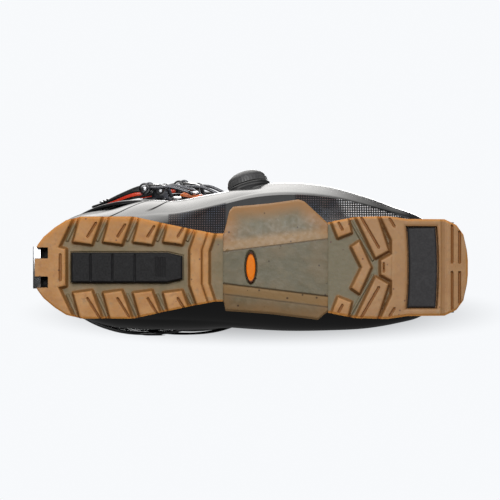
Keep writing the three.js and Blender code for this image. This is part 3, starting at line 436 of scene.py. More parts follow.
# ---------- lower shell surface ----------
# Each row is one ring: its low point (x, z), its high point (x, z), lateral and medial half-width.
SHELL_RINGS = [
    [228, 34, 227, 46, 12, 12],
    [225, 28, 222, 56, 25, 24],
    [214, 24, 208, 64, 36, 35.5],
    [198, 20, 190, 71, 43, 40.5],
    [175, 16, 165, 79, 51.5, 44.5],
    [148, 13.5, 138, 90, 59, 46],
    [118, 13, 114, 103, 62, 46.5],
    [88, 13, 98, 114, 60, 45.5],
    [58, 13, 88, 124, 53, 44],
    [28, 12.5, 82, 131, 46.5, 43],
    [-2, 12.5, 79, 137, 43.5, 43],
    [-30, 13, 77, 142, 42.5, 42],
    [-52, 18, 75, 147, 42.5, 41.2],
    [-61, 36, 74, 151, 43, 41],
    [-60.5, 60, 73, 156, 43, 41],
    [-55, 90, 72, 162, 43, 40.6],
    [-51, 118, 72, 169, 42, 39.6],
    [-49, 150, 73, 182, 41, 38.6],
    [-47, 182, 75, 214, 41, 38.6],
]
SHELL_END = len(SHELL_RINGS) - 1
WIDEST_AT = 0.42
SHELL_WALL = 4.0
COLLAR_LINE = [[-90, 145], [-44, 143], [-34, 137], [-10, 134], [40, 138], [62, 148], [110, 156]]
CREASE_TURN = math.radians(124.5)  # where the lateral side turns under, along the whole foot
CREASE_FLATNESS = 0.8


def cross_section(turn, exponent):
    """Share of the height (about the widest point) and share of the half-width at each turn from the top."""
    return power(np.cos(turn), exponent), power(np.sin(turn), exponent)


def shell_surface(u, turn, creased=True):
    low_x, low_z, high_x, high_z, lateral, medial = np.moveaxis(table_row(SHELL_RINGS, u), -1, 0)
    exponent = np.where(np.cos(turn) > 0, 2 / 2.2, 2 / 2.7)
    up, out = cross_section(turn, exponent)
    if creased:
        # on the lateral side two nearly flat faces meet in a crease
        corners = [math.pi / 2, CREASE_TURN, math.radians(165)]
        corner_up, corner_out = cross_section(np.array(corners), 2 / 2.7)
        flat = CREASE_FLATNESS * ramp(u, 2.6, 3.6) * ramp(u, 12.5, 10.5)
        flat = flat * ((turn > corners[0]) & (turn < corners[2]))
        up = up + flat * (np.interp(turn, corners, corner_up) - up)
        out = out + flat * (np.interp(turn, corners, corner_out) - out)
    share = WIDEST_AT + up * np.where(up > 0, 1 - WIDEST_AT, WIDEST_AT)
    y = np.where(out > 0, -out * lateral, -out * medial)
    return np.stack([low_x + (high_x - low_x) * share, y, low_z + (high_z - low_z) * share], -1)


def shell_point(u, turn, offset=0.0):
    """A point off the plain shell, as the parts that sit on it use it."""
    u, turn, offset = np.broadcast_arrays(u, turn, offset)
    return off_surface(lambda a, b: shell_surface(a, b, creased=False), u, turn, offset, 0.05, 0.03)

# ---------- sole ----------
LUG = 5.0  # height of the tread
HEEL_TOP = 20.0
TOE_LIP_TOP = 26.0
ROCKER_START = 172.0
TOE_FRONT = 243.0
ROCKER_RISE = 9.0
LID_COLUMNS = 14  # points across the hidden upper face of a rubber part
HEEL_HALF_OUTLINE = [
    [-65.7, 6.6], [-65.2, 12], [-63, 16.5], [-59, 21.8], [-51, 28.5], [-43, 33.6], [-33, 36.2], [5, 36.2],
    [26, 31.5], [45, 27.5], [62, 24.2], [68, 24.2],
]
TOE_HALF_OUTLINE = [
    [143.2, 32.2], [161.7, 35.9], [185, 36.5], [199, 34.5], [226, 34.4], [234.5, 30.3], [239.6, 23.5],
    [242.2, 12], [243, 4],
]


def on_side(side, points):
    return [[x, side * y] for x, y in points]


def both_sides(points):
    return points + on_side(-1, points[::-1])


def tread(x, y, base, blocks, ribs, sipes):
    """A tread's lower surface and its colour attributes. Blocks are outlines at the ground, ribs are
    (line, half-width, height) on the base, and sipes are (line, half-width, depth) cut into the blocks."""
    block_at = np.min([inside_distance(outline, x, y) for outline in blocks], axis=0)
    wall = np.clip(block_at / 1.8, 0, 1)
    rise = base * wall + 0.3 * ramp(block_at, -0.9, 0.0) * (1 - wall)
    for line, half, height in ribs:
        over = ramp(line_distance(line, x, y), half + 0.7, half)
        rise = rise - height * over * (wall > 0.99)
    cut = np.zeros(x.shape)
    for line, half, depth in sipes:
        here = ramp(line_distance(line, x, y), half + 0.45, half - 0.1) * (1 - wall)
        rise = rise + depth * here
        cut = np.maximum(cut, here)
    # "wall" marks where the lug walls are painted darker: partly the rubber's colour, partly painted shade.
    return rise, {
        "depth": ramp(block_at, 0.7, 2.4),
        "wall": ramp(block_at, -0.15, 0.5) * ramp(block_at, 3.0, 0.9),
        "sipe": cut,
    }


def slab(name, x_lines, low_y, high_y, columns, bottom, top, material, sharp=38.0):
    """A solid between two height fields over the strip low_y(x)..high_y(x). bottom(x, y) also gives the
    attributes of its surface, and top(x, y) is coarser, because it lies against the shell."""
    rows = len(x_lines)
    low, high = low_y(x_lines)[:, None], high_y(x_lines)[:, None]

    def plan(count):
        return np.repeat(x_lines[:, None], count, 1), low + (high - low) * np.linspace(0, 1, count)

    x, y = plan(columns)
    z, marks = bottom(x, y)
    lid_x, lid_y = plan(LID_COLUMNS)
    face = np.stack([x, y, z], -1).reshape(-1, 3)
    lid = np.stack([lid_x, lid_y, top(lid_x, lid_y)], -1).reshape(-1, 3)
    faces = grid_faces(rows, columns) + grid_faces(rows, LID_COLUMNS, start=len(face), flip=True)
    lower = np.arange(len(face)).reshape(rows, columns)
    upper = np.arange(len(lid)).reshape(rows, LID_COLUMNS) + len(face)
    for end in (0, -1):
        down, up = lower[:, end].tolist(), upper[:, end].tolist()
        faces += zip(down, down[1:], up[1:], up)
        faces += zipper(lower[end].tolist(), upper[end].tolist())
    attributes = {label: np.append(values, np.zeros(len(lid))) for label, values in marks.items()}
    return mesh_object(name, np.concatenate([face, lid]), faces, material, sharp, attributes)


def half_width(outline):
    xs, ys = zip(*outline)
    return lambda x: np.interp(x, xs, ys)


def under_shell(tree, ceiling):
    """Heights of the shell's underside, where a ray from below meets it, but no more than ceiling(x)."""

    def height(x, y):
        found = np.empty(x.shape)
        for index in np.ndindex(x.shape):
            hit = tree.ray_cast(Vector((x[index], y[index], -50.0)), Vector((0, 0, 1)))[0]
            found[index] = hit.z - 0.15 if hit else 1e9
        return np.minimum(found, ceiling(x))

    return height


HEEL_LUG_PITCH = 21.35
HEEL_LUG = [[-37.7, 18.4], [-25.2, 16.7], [-16.7, 40], [-31.7, 40]]
HEEL_PAD = {"half_length": 39.4, "taper": 28.6, "half": 10.7, "end_half": 8.2}


def heel_outsole(tree, material):
    """Four lugs a side, a block behind the pad and two bars across in front of it."""
    blocks = [
        both_sides(half) for half in (
            [[-80, -50], [-36.5, -40], [-48.8, -14.1], [-43.7, -12.8]],
            [[45.1, -12.5], [51.3, -30], [58.5, -30], [52.5, -12]],
            [[53.8, -12], [59.9, -30], [64, -30], [57.8, -11.5]],
        )
    ]
    ribs = []
    sipes = [([[-47.2, -9], [-47.2, 9]], 0.6, 1.6)]
    for side in (-1, 1):
        for i in range(4):
            shift = i * HEEL_LUG_PITCH
            blocks.append([[x + shift, side * y] for x, y in HEEL_LUG])
            reach = 31.5 - 1.2 * i if side < 0 else 37 - 2 * i
            run = (reach - 22) * 0.62
            sipes.append(([[-27.8 + shift, side * 22], [-27.8 + shift + run, side * reach]], 0.55, 1.8))
        for i in range(5):
            shift = i * HEEL_LUG_PITCH
            ribs.append(([[-42.4 + shift, side * 19.5], [-34.4 + shift, side * 37]], 0.6, 1.7))
    half = half_width(HEEL_HALF_OUTLINE)

    def bottom(x, y):
        rise, marks = tread(x, y, LUG, blocks, ribs, sipes)
        pad = inside_distance(heel_pad_outline(0.45), x, y)
        rise = np.where(pad < 0.6, np.maximum(rise, LUG + 1.2 * ramp(pad, 0.5, 0.0)), rise)
        edge = half(x) - np.abs(y)
        # The orange rim is the rubber's own edge colour, widened on the lateral side as painted light.
        marks["rim"] = ramp(edge, np.where(y < 0, 6, 2), 0.2) * 0.85
        notch = np.maximum(np.maximum(x + 56.2, 6.6 - np.abs(y)), np.abs(y) - 14)
        marks["notch"] = ramp(notch, 0.4, 0.0)
        return np.where(notch < 0, HEEL_TOP - 0.4, rise + 0.6 * ramp(edge, 1.4, 0.0)), marks

    x_lines = np.concatenate([np.linspace(-65.2, -60, 16)[:-1], np.linspace(-60, 68.1, 310)])
    top = under_shell(tree, lambda x: np.full(np.shape(x), HEEL_TOP))
    return slab("rubber_heel", x_lines, lambda x: -half(x), half, 176, bottom, top, material)


def heel_pad_outline(grow):
    half, end = HEEL_PAD["half"] + grow, HEEL_PAD["half_length"] + grow
    return both_sides([[-end, -half], [HEEL_PAD["taper"], -half], [end, -HEEL_PAD["end_half"] - grow]])


def rocker_height(x):
    share = np.maximum(x - ROCKER_START, 0) / (TOE_FRONT - ROCKER_START)
    return ROCKER_RISE * share**1.6


TOE_PAD = {"x0": 199.4, "x1": 220.6, "half": 28.6, "bottom": 5.5, "top": 9.5, "bow": 1.3}
TOE_LUGS = [
    [[143.6, 38], [155.8, 38], [159, 24.9], [150.1, 21.4]],
    [[161, 40], [176.3, 40], [185.3, 12], [176.7, 7.2]],
]
# Lines on one side of the toe: their ends, half-width, and height of a rib or depth of a sipe.
TOE_RIBS = [
    ([[158.6, 34], [174.6, 5.6]], 0.5, 1.6), ([[176.6, 35], [186.4, 17.6]], 0.45, 1.4),
    ([[178.4, 35], [187.2, 19.8]], 0.3, 2.2),
]
TOE_SIPES = [
    ([[150.3, 31.6], [152.9, 26.9]], 0.6, 1.6), ([[166.6, 35], [178.7, 14.2]], 0.6, 1.8),
    ([[186.6, 34.5], [189.8, 29.2]], 0.6, 1.6), ([[231.4, 3.6], [231.4, 29.6]], 0.65, 2.2),
    ([[236.8, 3.6], [236.8, 25.2]], 0.65, 2.2),
]


def toe_pad_shift(y):
    """The pad's two long edges bow towards the toe."""
    return TOE_PAD["bow"] * (1 - (y / TOE_PAD["half"]) ** 2) - TOE_PAD["bow"] / 2


def toe_outsole(tree, material):
    """A field round the pad, two lugs a side and a chevron between them."""
    blocks = [
        both_sides([[250, -40], [178.8, -40], [188.3, -19.3]]), both_sides([[180.6, -4.9], [188.4, -9.2]]),
        [[164.8, -18], [173, 0], [164.8, 18], [159.8, 14.5], [167, 0], [159.8, -14.5]],
    ]
    ribs = []
    sipes = [([[182.3, a], [182.3, b]], 0.45, 1.5) for a, b in ((-2.9, -1.3), (-0.7, 0.7), (1.3, 2.9))]
    for side in (-1, 1):
        blocks += [on_side(side, lug) for lug in TOE_LUGS]
        ribs += [(on_side(side, line), half, height) for line, half, height in TOE_RIBS]
        sipes += [(on_side(side, line), half, depth) for line, half, depth in TOE_SIPES]
    half_at = half_width(TOE_HALF_OUTLINE)

    def bottom(x, y):
        rise, marks = tread(x, y, LUG, blocks, ribs, sipes)
        # the seat of the pad, and a shallow step across the front in line with its edge
        pad = np.maximum(np.abs(x - toe_pad_shift(y) - 210) - 10.6, np.abs(y) - TOE_PAD["half"])
        seat = TOE_PAD["top"] + 0.2 - rocker_height(x)
        rise = rise + seat * ramp(pad, 0.75, 0.15) + 0.5 * ramp(pad, 2.6, 0.75) * (pad > 0.7)
        rise = rise + 0.9 * ramp(x, 222.6, 224.2) * ramp(x, 228.6, 226.4) + rocker_height(x)
        # The darker wall colour, partly painted shade, also goes round the pad's seat and along the front
        # step.
        marks["wall"] = np.maximum(marks["wall"], 0.75 * ramp(np.abs(pad - 0.5), 1.4, 0.3))
        marks["wall"] = np.maximum(marks["wall"], 0.45 * ramp(x, 222.6, 224.2) * ramp(x, 227.8, 225.4))
        edge = np.minimum(half_at(x) - np.abs(y), TOE_FRONT - x)
        marks["rim"] = ramp(edge, 2.4, 0.3) * 0.8
        return rise + 0.8 * ramp(edge, 1.8, 0.0), marks

    def ceiling(x):
        return HEEL_TOP + (TOE_LIP_TOP - HEEL_TOP) * np.clip((x - 180) / 20, 0, 1)

    x_lines = np.concatenate([np.linspace(143, 238, 236)[:-1], np.linspace(238, 242.9, 26)])
    top = under_shell(tree, ceiling)
    return slab("rubber_toe", x_lines, lambda x: -half_at(x), half_at, 180, bottom, top, material)


ARCH_LATERAL = [
    [68.8, -24.5], [72.6, -40.5], [75.2, -43.6], [101.5, -46], [122, -48.8], [126.3, -47.4], [142.4, -32],
]
ARCH_MEDIAL = [[68.8, 25], [69.8, 31], [101.5, 33.3], [136, 37.4], [140.2, 33.6], [142.4, 32]]
ARCH_TOP = 34.0
BADGE = {"x": 88, "half_length": 11.4, "half_width": 3.7}


def arch_bottom(x, y):
    """The underside of the arch: a flat crown with a bevel along each side, then a long rise to the edge."""
    along = (x - 68) / 75
    crown = 5.3 + 3.6 * np.sin(np.pi * np.clip(along, 0, 1)) ** 0.8
    beyond = np.abs(y) - (11.2 + 9.2 * along)
    side = np.maximum(np.abs(y) - (14 + 12 * along), 0)
    return crown + 0.8 * ramp(beyond, -0.2, 0.6) + 1.1 * ramp(beyond, 0.4, 8) + 0.0107 * side**2, beyond


def arch_outsole(tree, material):
    low, high = half_width(ARCH_LATERAL), half_width(ARCH_MEDIAL)
    # the joints with the heel and toe rubber are not edges
    outline = [[40, -20]] + ARCH_LATERAL + [[170, -30], [170, 30]] + ARCH_MEDIAL[::-1] + [[40, 24]]

    def bottom(x, y):
        rise, beyond = arch_bottom(x, y)
        across, along = (x - BADGE["x"]) / (BADGE["half_width"] + 0.6), y / (BADGE["half_length"] + 0.6)
        rise = rise + 2.0 * ramp((np.hypot(across, along) - 1) * 4, 0.25, -0.1)
        near = np.minimum(y - low(x), high(x) - y)
        edge = -inside_distance(outline, x, y)
        lateral = y < 0
        end, start = np.where(lateral, 11, 10), np.where(lateral, 5, 5.5)
        # A painted shadow line on the medial side, just beyond the bevel.
        seam = 0.7 * ramp(np.abs(y - 19 - (x - 69) / 8), 0.8, 0.2)
        return rise + 0.9 * ramp(near, 1.6, 0), {
            "bevel": ramp(beyond, -0.4, 0.6) * ramp(beyond, end, start),
            # The orange rim is stronger on the lateral side as painted light.
            "rim": np.where(lateral, 0.7, 0.4) * ramp(edge, 14, 0.5),
            # A dark line along the bevel's crease, and the painted shadow line.
            "line": np.maximum(0.8 * ramp(np.abs(beyond), 0.9, 0.2), seam),
        }

    top = under_shell(tree, lambda x: np.full(np.shape(x), ARCH_TOP))
    return slab("rubber_arch", np.linspace(68.2, 142.9, 150), low, high, 150, bottom, top, material, 50)


def pad_solid(name, x_edges, half, bottom, top, material, rows, columns):
    """A pad between x_edges(y) with rounded lower edges; bottom(x, y) is its contact face."""
    share = np.linspace(0, 1, rows)[:, None]
    y = np.linspace(-1, 1, columns) * half(share)
    x0, x1 = x_edges(y)
    x = x0 + (x1 - x0) * share
    edge = np.minimum(np.minimum(x - x0, x1 - x), half(share) - np.abs(y))
    lower = np.stack([x, y, bottom(x, y) + 0.9 * ramp(edge, 1.0, 0.0)], -1)
    return closed_plate(name, lower, np.stack([x, y, np.full(x.shape, top)], -1), material, 50)


def heel_pad(material):
    """Three grooves across, and five fine ones near the front."""
    lines = [(at, 0.7, 0.75, 0.3, 10, 9) for at in (-25.7, -10.2, 5.7)]
    lines += [(at, 0.3, 0.5, 0.2, 7.4, 6.6) for at in (20.5, 22.1, 23.7, 25.3, 26.9)]

    def bottom(x, y):
        grooves = (d * ramp(np.abs(x - at), a, b) * ramp(np.abs(y), c, e) for at, d, a, b, c, e in lines)
        return sum(grooves)

    length, widths = HEEL_PAD["half_length"], [HEEL_PAD["half"], HEEL_PAD["half"], HEEL_PAD["end_half"]]

    def half(share):
        return np.interp((2 * share - 1) * length, [-length, HEEL_PAD["taper"], length], widths)

    edges = lambda y: (0 * y - length, 0 * y + length)
    return pad_solid("contact_pad_heel", edges, half, bottom, LUG, material, 240, 60)


def toe_pad(material):
    def edges(y):
        shift = toe_pad_shift(y) * 0.9
        return TOE_PAD["x0"] + 0.65 + shift, TOE_PAD["x1"] - 0.65 + shift

    half = lambda share: TOE_PAD["half"] + 0 * share
    bottom = lambda x, y: TOE_PAD["bottom"] + 0.25 + 0 * x
    return pad_solid("contact_pad_toe", edges, half, bottom, TOE_PAD["top"], material, 120, 110)


def sole_badge(material):
    """An oval plate with a raised, darker rim."""
    rings, around = 14, 96
    crown = float(arch_bottom(np.array(BADGE["x"]), np.array(0.0))[0])
    turns = np.linspace(0, 2 * np.pi, around, endpoint=False)
    loops, rim = [], []
    for r in np.linspace(0.02, 1, rings):
        inset = (1 - r) * BADGE["half_width"]
        z = crown - 0.3 - 0.35 * ramp(inset, 0.85, 1.3) * (1 - 0.2 * r)
        z = z - 0.4 * ramp(inset, 0.7, 0.5) * ramp(inset, 0, 0.2)
        x = BADGE["x"] + (BADGE["half_width"] + 0.1) * r * np.cos(turns)
        y = (BADGE["half_length"] + 0.1) * r * np.sin(turns)
        loops.append(np.stack([x, y, 0 * x + z], -1))
        rim.append([float(ramp(inset, 0.75, 0.5))] * around)
    loops.append(np.stack([x, y, 0 * x + crown + 1.6], -1))
    rim.append([1.0] * around)
    return swept_loop("badge_plate", np.array(loops), material, 60, {"rim": rim})


# ---------- lower shell ----------
PIVOT_X, PIVOT_Z = 15.0, 98.0
DOT_PITCH = 1.7
DOME = 1.6  # how far the closing dome of the nose stands out

# How far the swelling below the ankle stands out on the lateral side, by x.
ANKLE_SWELL = [
    [-30, 39], [-14, 42.5], [0, 47], [12, 49.2], [22, 49.4], [32, 49], [43, 50.6], [56, 53.3], [67, 55.3],
    [78, 57.6], [100, 58],
]


def collar_height(x):
    return np.interp(x, *zip(*COLLAR_LINE))


def ring_reaching(height, turn, offset, last_ring):
    """The ring number, from 9 to last_ring, at which the shell's side reaches height(x), for each turn."""
    low, high = np.full(turn.shape, 9.0), np.full(turn.shape, float(last_ring))
    for _ in range(30):
        middle = (low + high) / 2
        point = shell_point(middle, turn, offset)
        above = point[..., 2] > height(point[..., 0])
        low, high = np.where(above, low, middle), np.where(above, middle, high)
    return low


def seam_offset(turn, place):
    """Grooves and raised lines moulded into the shell, in millimetres along its normal."""
    x, y = place[..., 0], place[..., 1]
    degrees = np.degrees(turn)
    crease = -0.5 * ramp(np.abs(degrees - math.degrees(CREASE_TURN)), 2.2, 0.6) * (y < 0)
    crease = crease * ramp(x, 20, 34) * ramp(x, 208, 196)
    rib_zone = ramp(x, 16, 20) * ramp(x, 68, 64) * ramp(np.abs(degrees - 146), 7, 5) * (y < 0)
    ribs = 0.35 * rib_zone * (0.5 + 0.5 * np.cos(x * 2 * np.pi / 2.0))
    return crease - ribs + ankle_swell(x, y, place[..., 2])


def ankle_swell(x, y, z):
    """Both sides swell below the ankle, until they are flush with the cuff that turns above them."""
    medial = np.interp(x, [-30, -10, 10, 50, 75], [40, 44.4, 46, 46, 44])
    reach = np.where(y < 0, look_up(ANKLE_SWELL, x)[..., 0], medial) - np.abs(y)
    start = np.interp(x, [34, 52], [68.5, 86])
    finish = np.interp(x, [34, 52], [61.5, 60])
    below = np.sin(np.clip((z - 31) / 31, 0, 1) * np.pi / 2) * ramp(z, start, finish)
    swell = np.maximum(reach, 0) * below * ramp(x, 104, 80) * ramp(x, -40, -16) * (np.abs(y) > 20)
    boss = 2.0 * ramp(np.hypot(x - PIVOT_X, z - PIVOT_Z), 20, 12) * (y < -20)
    return swell + boss


def lower_shell(material):
    """The hard shell of the foot, from the toe to the collar, with its wall."""
    around, rings = 264, 182
    turn = np.linspace(0, 2 * np.pi, around, endpoint=False)[None, :] + 1e-4
    skins = []
    for offset, start in ((0.0, 0.0), (-SHELL_WALL, 0.9)):
        end = ring_reaching(collar_height, turn, offset, SHELL_END)
        u = start + (end - start) * np.linspace(0, 1, rings)[:, None]
        turns = turn + 0 * u
        skin = off_surface(shell_surface, u, turns, offset, 0.05, 0.02)
        if offset == 0.0:
            skin = off_surface(shell_surface, u, turns, seam_offset(turns, skin), 0.05, 0.02)
        skins.append(skin)
    outer, inner = skins
    lip = (outer[-1:] + inner[-1:]) / 2 + np.array([0, 0, 0.9])
    # the nose closes with a shallow dome
    centre = outer[0].mean(0)
    nose = [centre + (outer[0] - centre) * share + [DOME * (1 - share**2), 0, 0] for share in (0.2, 0.5, 0.8)]
    loops = np.concatenate([nose, outer, lip, inner[::-1]])
    marks = {"turn": np.broadcast_to(np.degrees(turn), loops.shape[:2])}
    return swept_loop("shell_skin", loops, material, 32, marks)


def ankle_seams(paint):
    """1 on two fine seams of the swelling below the ankle: the round end of a lobe and a slanting line."""
    x, y, z = paint.axes()
    lobe = paint.near(paint.oval((x, z), (0.010, 0.066), (0.019, 0.031)), 1.0, 0.05, 0.02)
    lobe = paint.times(lobe, paint.between(x, 0.010, 0.018))
    line = paint.near(paint.math("MULTIPLY_ADD", x, -0.85, z), 0.043, 0.0014, 0.0006)
    line = paint.times(line, paint.between(x, 0.022, 0.012))
    return paint.times(paint.math("MAXIMUM", lobe, line), paint.between(y, -0.030, -0.034))


def shell_gloss():
    """Glossy black shell; below the lateral crease it is inlaid with a grid of small silvery dots, with a
    painted highlight on them in a slanting band near the toe.
    """
    paint = Paint("shell gloss", Coat_Roughness=0.05, Coat_IOR=2.2)
    x, y, _ = paint.axes()
    crease = math.degrees(CREASE_TURN)
    under = paint.between(paint.attribute("turn"), crease + 0.6, crease + 1.4)
    rear = paint.times(paint.between(x, 0.028, 0.029), paint.between(x, 0.071, 0.069))
    front = paint.times(paint.between(x, 0.119, 0.121), paint.between(x, 0.208, 0.200))
    panel = paint.times(under, paint.between(y, -0.020, -0.023), paint.math("MAXIMUM", rear, front))
    dots = paint.times(panel, *(paint.between(paint.wave(at, DOT_PITCH * MM), 0.35, 0.8) for at in (x, y)))
    # painted highlight: the dots are painted near-white in a slanting band near the toe
    slant = paint.math("MULTIPLY_ADD", y, -0.45, x)
    bright = paint.times(paint.between(slant, 0.170, 0.176), paint.between(slant, 0.226, 0.205))
    tint = paint.layers("464B5C", (paint.blotches(18, 2, 0.4, 0.6), "5C4845"), (bright, "E8E9EC"))
    black = paint.layers("0A0A0C", (paint.blotches(25, 3), "111214"), (panel, "06070B"))
    seam = ankle_seams(paint)
    cover = paint.math("MAXIMUM", panel, seam)
    paint.set("Coat Weight", paint.math("MULTIPLY_ADD", cover, -0.85, 1.0, clamp=True))
    paint.set("Specular IOR Level", paint.math("MULTIPLY_ADD", seam, -0.5, 0.5))
    rough = paint.math("MULTIPLY_ADD", seam, 0.5, paint.blotches(6, 4, 0.3, 0.7, 0.16, 0.27))
    colour = paint.layers(black, (dots, tint), (seam, "050506"))
    return paint.finished(colour, rough, (paint.noise(30, 2), 0.1))


# ---------- cuff ----------
CUFF_WALL = 3.4
FLAP_STEP = CUFF_WALL + 0.8
# Each row is one level: height, rear x, front x, lateral and medial half-width.
CUFF_LEVELS = [
    [50, -66, 82, 50.5, 46.5],
    [90, -66.5, 82, 50.5, 46.5],
    [130, -66, 82, 51, 47],
    [165, -62, 84, 52, 48],
    [205, -54.5, 89, 54.5, 48.8],
    [245, -45, 95, 57, 49.8],
    [285, -35, 101, 59.5, 50.8],
    [330, -25, 107, 62, 52],
]
CUFF_TILT = 0.0009
# Height of the cuff's lower and upper edges by angle from the front, in degrees.
CUFF_LOWER_EDGE = [
    [0, 172], [28, 168], [48, 150], [60, 128], [70, 98], [79, 75], [88, 69], [97, 75], [108, 96], [124, 116],
    [145, 124], [164, 127], [171, 141], [180, 143],
]
CUFF_UPPER_EDGE = [[0, 284], [45, 288], [90, 292], [140, 303], [180, 308]]
WRAP_START, WRAP_FINISH = 5.0, 424.0  # the inner flap's edge and the outer flap's edge, in degrees
# A moulded panel on each side of the cuff: (degrees from the front, level).
CUFF_SIDE_PANEL = [
    [58, 152], [80, 100], [97, 101], [112, 128], [138, 141], [142, 205], [118, 222], [70, 206], [56, 178],
]
DEGREE = 0.9  # millimetres round the cuff's side in a degree, about
CUFF_SPINE_HALF = 13.0  # degrees either side of the rear


def cuff_surface(level, turn):
    """Turn is in radians, 0 at the front, growing towards the lateral side."""
    rear, front, lateral, medial = np.moveaxis(look_up(CUFF_LEVELS, level), -1, 0)
    forward, out = power(np.cos(turn), 2 / 2.35), power(np.sin(turn), 2 / 2.35)
    x = (rear + front) / 2 + forward * (front - rear) / 2
    tip = np.maximum(level - PIVOT_Z, 0) * CUFF_TILT * (x - PIVOT_X)
    y = np.where(out > 0, -out * lateral, -out * medial)
    return np.stack(np.broadcast_arrays(x, y, level - tip), -1)


def cuff_point(level, turn, offset=0.0):
    level, turn, offset = np.broadcast_arrays(level, turn, offset)
    return off_surface(cuff_surface, level, turn, offset, 0.5, 0.02)


def cuff_edge(table, degrees):
    return look_up(table, np.abs((degrees + 180) % 360 - 180))[..., 0]


def wrap_offset(degrees):
    """How far the wrap stands off the cuff's surface: its outer flap lies on the inner one."""
    return FLAP_STEP * smooth((degrees - 215) / 60)


def wrap_solid(name, degrees, low, high, outer, wall, rows, lip, material, sharp):
    """A band round the leg with rounded lips. Low and high are levels at each station, outer(level, degrees)
    is the offset of its outside, and wall its thickness."""
    share = np.linspace(0, 1, rows)
    arc = np.radians([30, 60, 90, 120, 150])
    loops, across = [], []
    for d, start, end in zip(degrees, low, high):
        turn = math.radians(d)
        trim = min(lip, (end - start) / 3)
        levels = start + trim + (end - start - 2 * trim) * share
        outside = outer(levels, d)
        ring_levels, offsets = [levels], [outside]
        for level, direction in ((end - trim, 1), (start + trim, -1)):
            middle = outer(np.array([level]), d)[0] - wall / 2
            ring_levels.append(level + direction * trim * np.sin(arc))
            offsets.append(middle + direction * wall / 2 * np.cos(arc))
        ring_levels.insert(2, levels[::-1])
        offsets.insert(2, outside[::-1] - wall)
        loops.append(cuff_point(np.concatenate(ring_levels), turn, np.concatenate(offsets)))
        across.append(np.concatenate(ring_levels))
    loops = np.array(loops)
    marks = {"level": np.array(across), "degrees": np.repeat(degrees, loops.shape[1])}
    return swept_loop(name, loops, material, sharp, marks)


def cuff_relief(level, degrees):
    """Steps and grooves of the cuff's outside, all cut inwards, in millimetres."""
    d = np.abs((degrees + 180) % 360 - 180)
    level, d = np.broadcast_arrays(np.asarray(level, float), d)
    panel = inside_distance([[a * DEGREE, b] for a, b in CUFF_SIDE_PANEL], d * DEGREE, level)
    depth = -0.7 * ramp(panel, 0.8, -0.8) - 0.25 * ramp(np.abs(panel + 3), 0.9, 0.3)
    hub = np.hypot((d - 85.5) * 0.93, level - PIVOT_Z)
    depth = depth - 0.8 * ramp(hub, 12.5, 11.2)
    spine = 0.6 * ramp(d, 180 - CUFF_SPINE_HALF - 2.5, 180 - CUFF_SPINE_HALF - 0.5)
    edge = np.minimum(level - cuff_edge(CUFF_LOWER_EDGE, d), cuff_edge(CUFF_UPPER_EDGE, d) - level)
    return depth - 0.6 + spine + 0.35 * ramp(edge, 7.5, 6.5)


def cuff_body(material):
    stations = np.concatenate([np.linspace(WRAP_START, 60, 50)[:-1], np.linspace(60, WRAP_FINISH, 330)])
    low, high = (cuff_edge(table, stations) for table in (CUFF_LOWER_EDGE, CUFF_UPPER_EDGE))
    outer = lambda level, d: wrap_offset(d) + cuff_relief(level, d)
    return wrap_solid("cuff_band", stations, low, high, outer, CUFF_WALL - 0.9, 120, 1.4, material, 50)


def cuff_gloss():
    """Glossy black moulded cuff with a few fine scratches."""
    paint = Paint("cuff gloss", Coat_Weight=1.0, Coat_Roughness=0.05, Coat_IOR=2.2)
    scratched = paint.between(paint.noise(1.2, 5, 0.7), 0.62, 0.8, 0.0, 0.35)
    colour = paint.layers("0C0C0E", (paint.blotches(25, 3), "141518"), (scratched, "2A2B2E"))
    return paint.finished(colour, paint.blotches(6, 4, 0.3, 0.7, 0.16, 0.3), (paint.noise(26, 2), 0.12))


# ---------- frames of the parts on the cuff and on the shell ----------
def frame_of(origin, x_axis=(1, 0, 0), y_axis=(0, 1, 0), z_axis=(0, 0, 1)):
    """A 4x4 matrix in millimetres."""
    matrix = np.eye(4)
    matrix[:3, 0], matrix[:3, 1], matrix[:3, 2], matrix[:3, 3] = x_axis, y_axis, z_axis, origin
    return matrix


def placed(matrix, points):
    return np.asarray(points, float) @ matrix[:3, :3].T + matrix[:3, 3]


def cuff_frame(level, turn):
    """x forward along the strap, y into the leg, z up the leg."""
    origin = cuff_point(level, turn)
    inward = unit(cuff_point(level, turn, -1.0) - origin)
    up = unit(cuff_point(level + 1.0, turn) - cuff_point(level - 1.0, turn))
    forward = unit(np.cross(inward, up))
    return frame_of(origin, forward, inward, np.cross(forward, inward))


def shell_frame(u, turn):
    """x towards the toe, z out of the shell."""
    origin = shell_point(u, turn)
    outward = unit(shell_point(u, turn, 1.0) - origin)
    forward = unit(shell_point(u - 0.1, turn) - shell_point(u + 0.1, turn))
    across = unit(np.cross(outward, forward))
    return frame_of(origin, np.cross(across, outward), across, outward)


def lathe(name, profile, matrix, material, sides=48, sharp=35, wobble=None, ring=False):
    """A profile (radius, height) turned about the frame's z, capped, or a ring where its last point joins its
    first. wobble(turn, radius, height) changes the radius."""
    turns = np.linspace(0, 2 * np.pi, sides, endpoint=False)
    radius, height = (column[:, None] for column in np.asarray(profile, float).T)
    reach = radius + (wobble(turns, radius, height) if wobble else 0 * turns)
    loops = np.stack([reach * np.cos(turns), reach * np.sin(turns), height + 0 * turns], -1)
    return swept_loop(name, placed(matrix, loops), material, sharp, ring=ring)


def rounded(outline, radius, steps=4):
    """An outline with its corners rounded by arcs of about that radius."""
    points = np.asarray(outline, float)
    result = []
    for before, corner, after in zip(np.roll(points, 1, 0), points, np.roll(points, -1, 0)):
        first, second = before - corner, after - corner
        reach = min(radius, np.linalg.norm(first) * 0.45, np.linalg.norm(second) * 0.45)
        a, b = corner + unit(first) * reach, corner + unit(second) * reach
        for t in np.linspace(0, 1, steps):
            result.append((1 - t) ** 2 * a + 2 * t * (1 - t) * corner + t * t * b)
    return np.array(result)


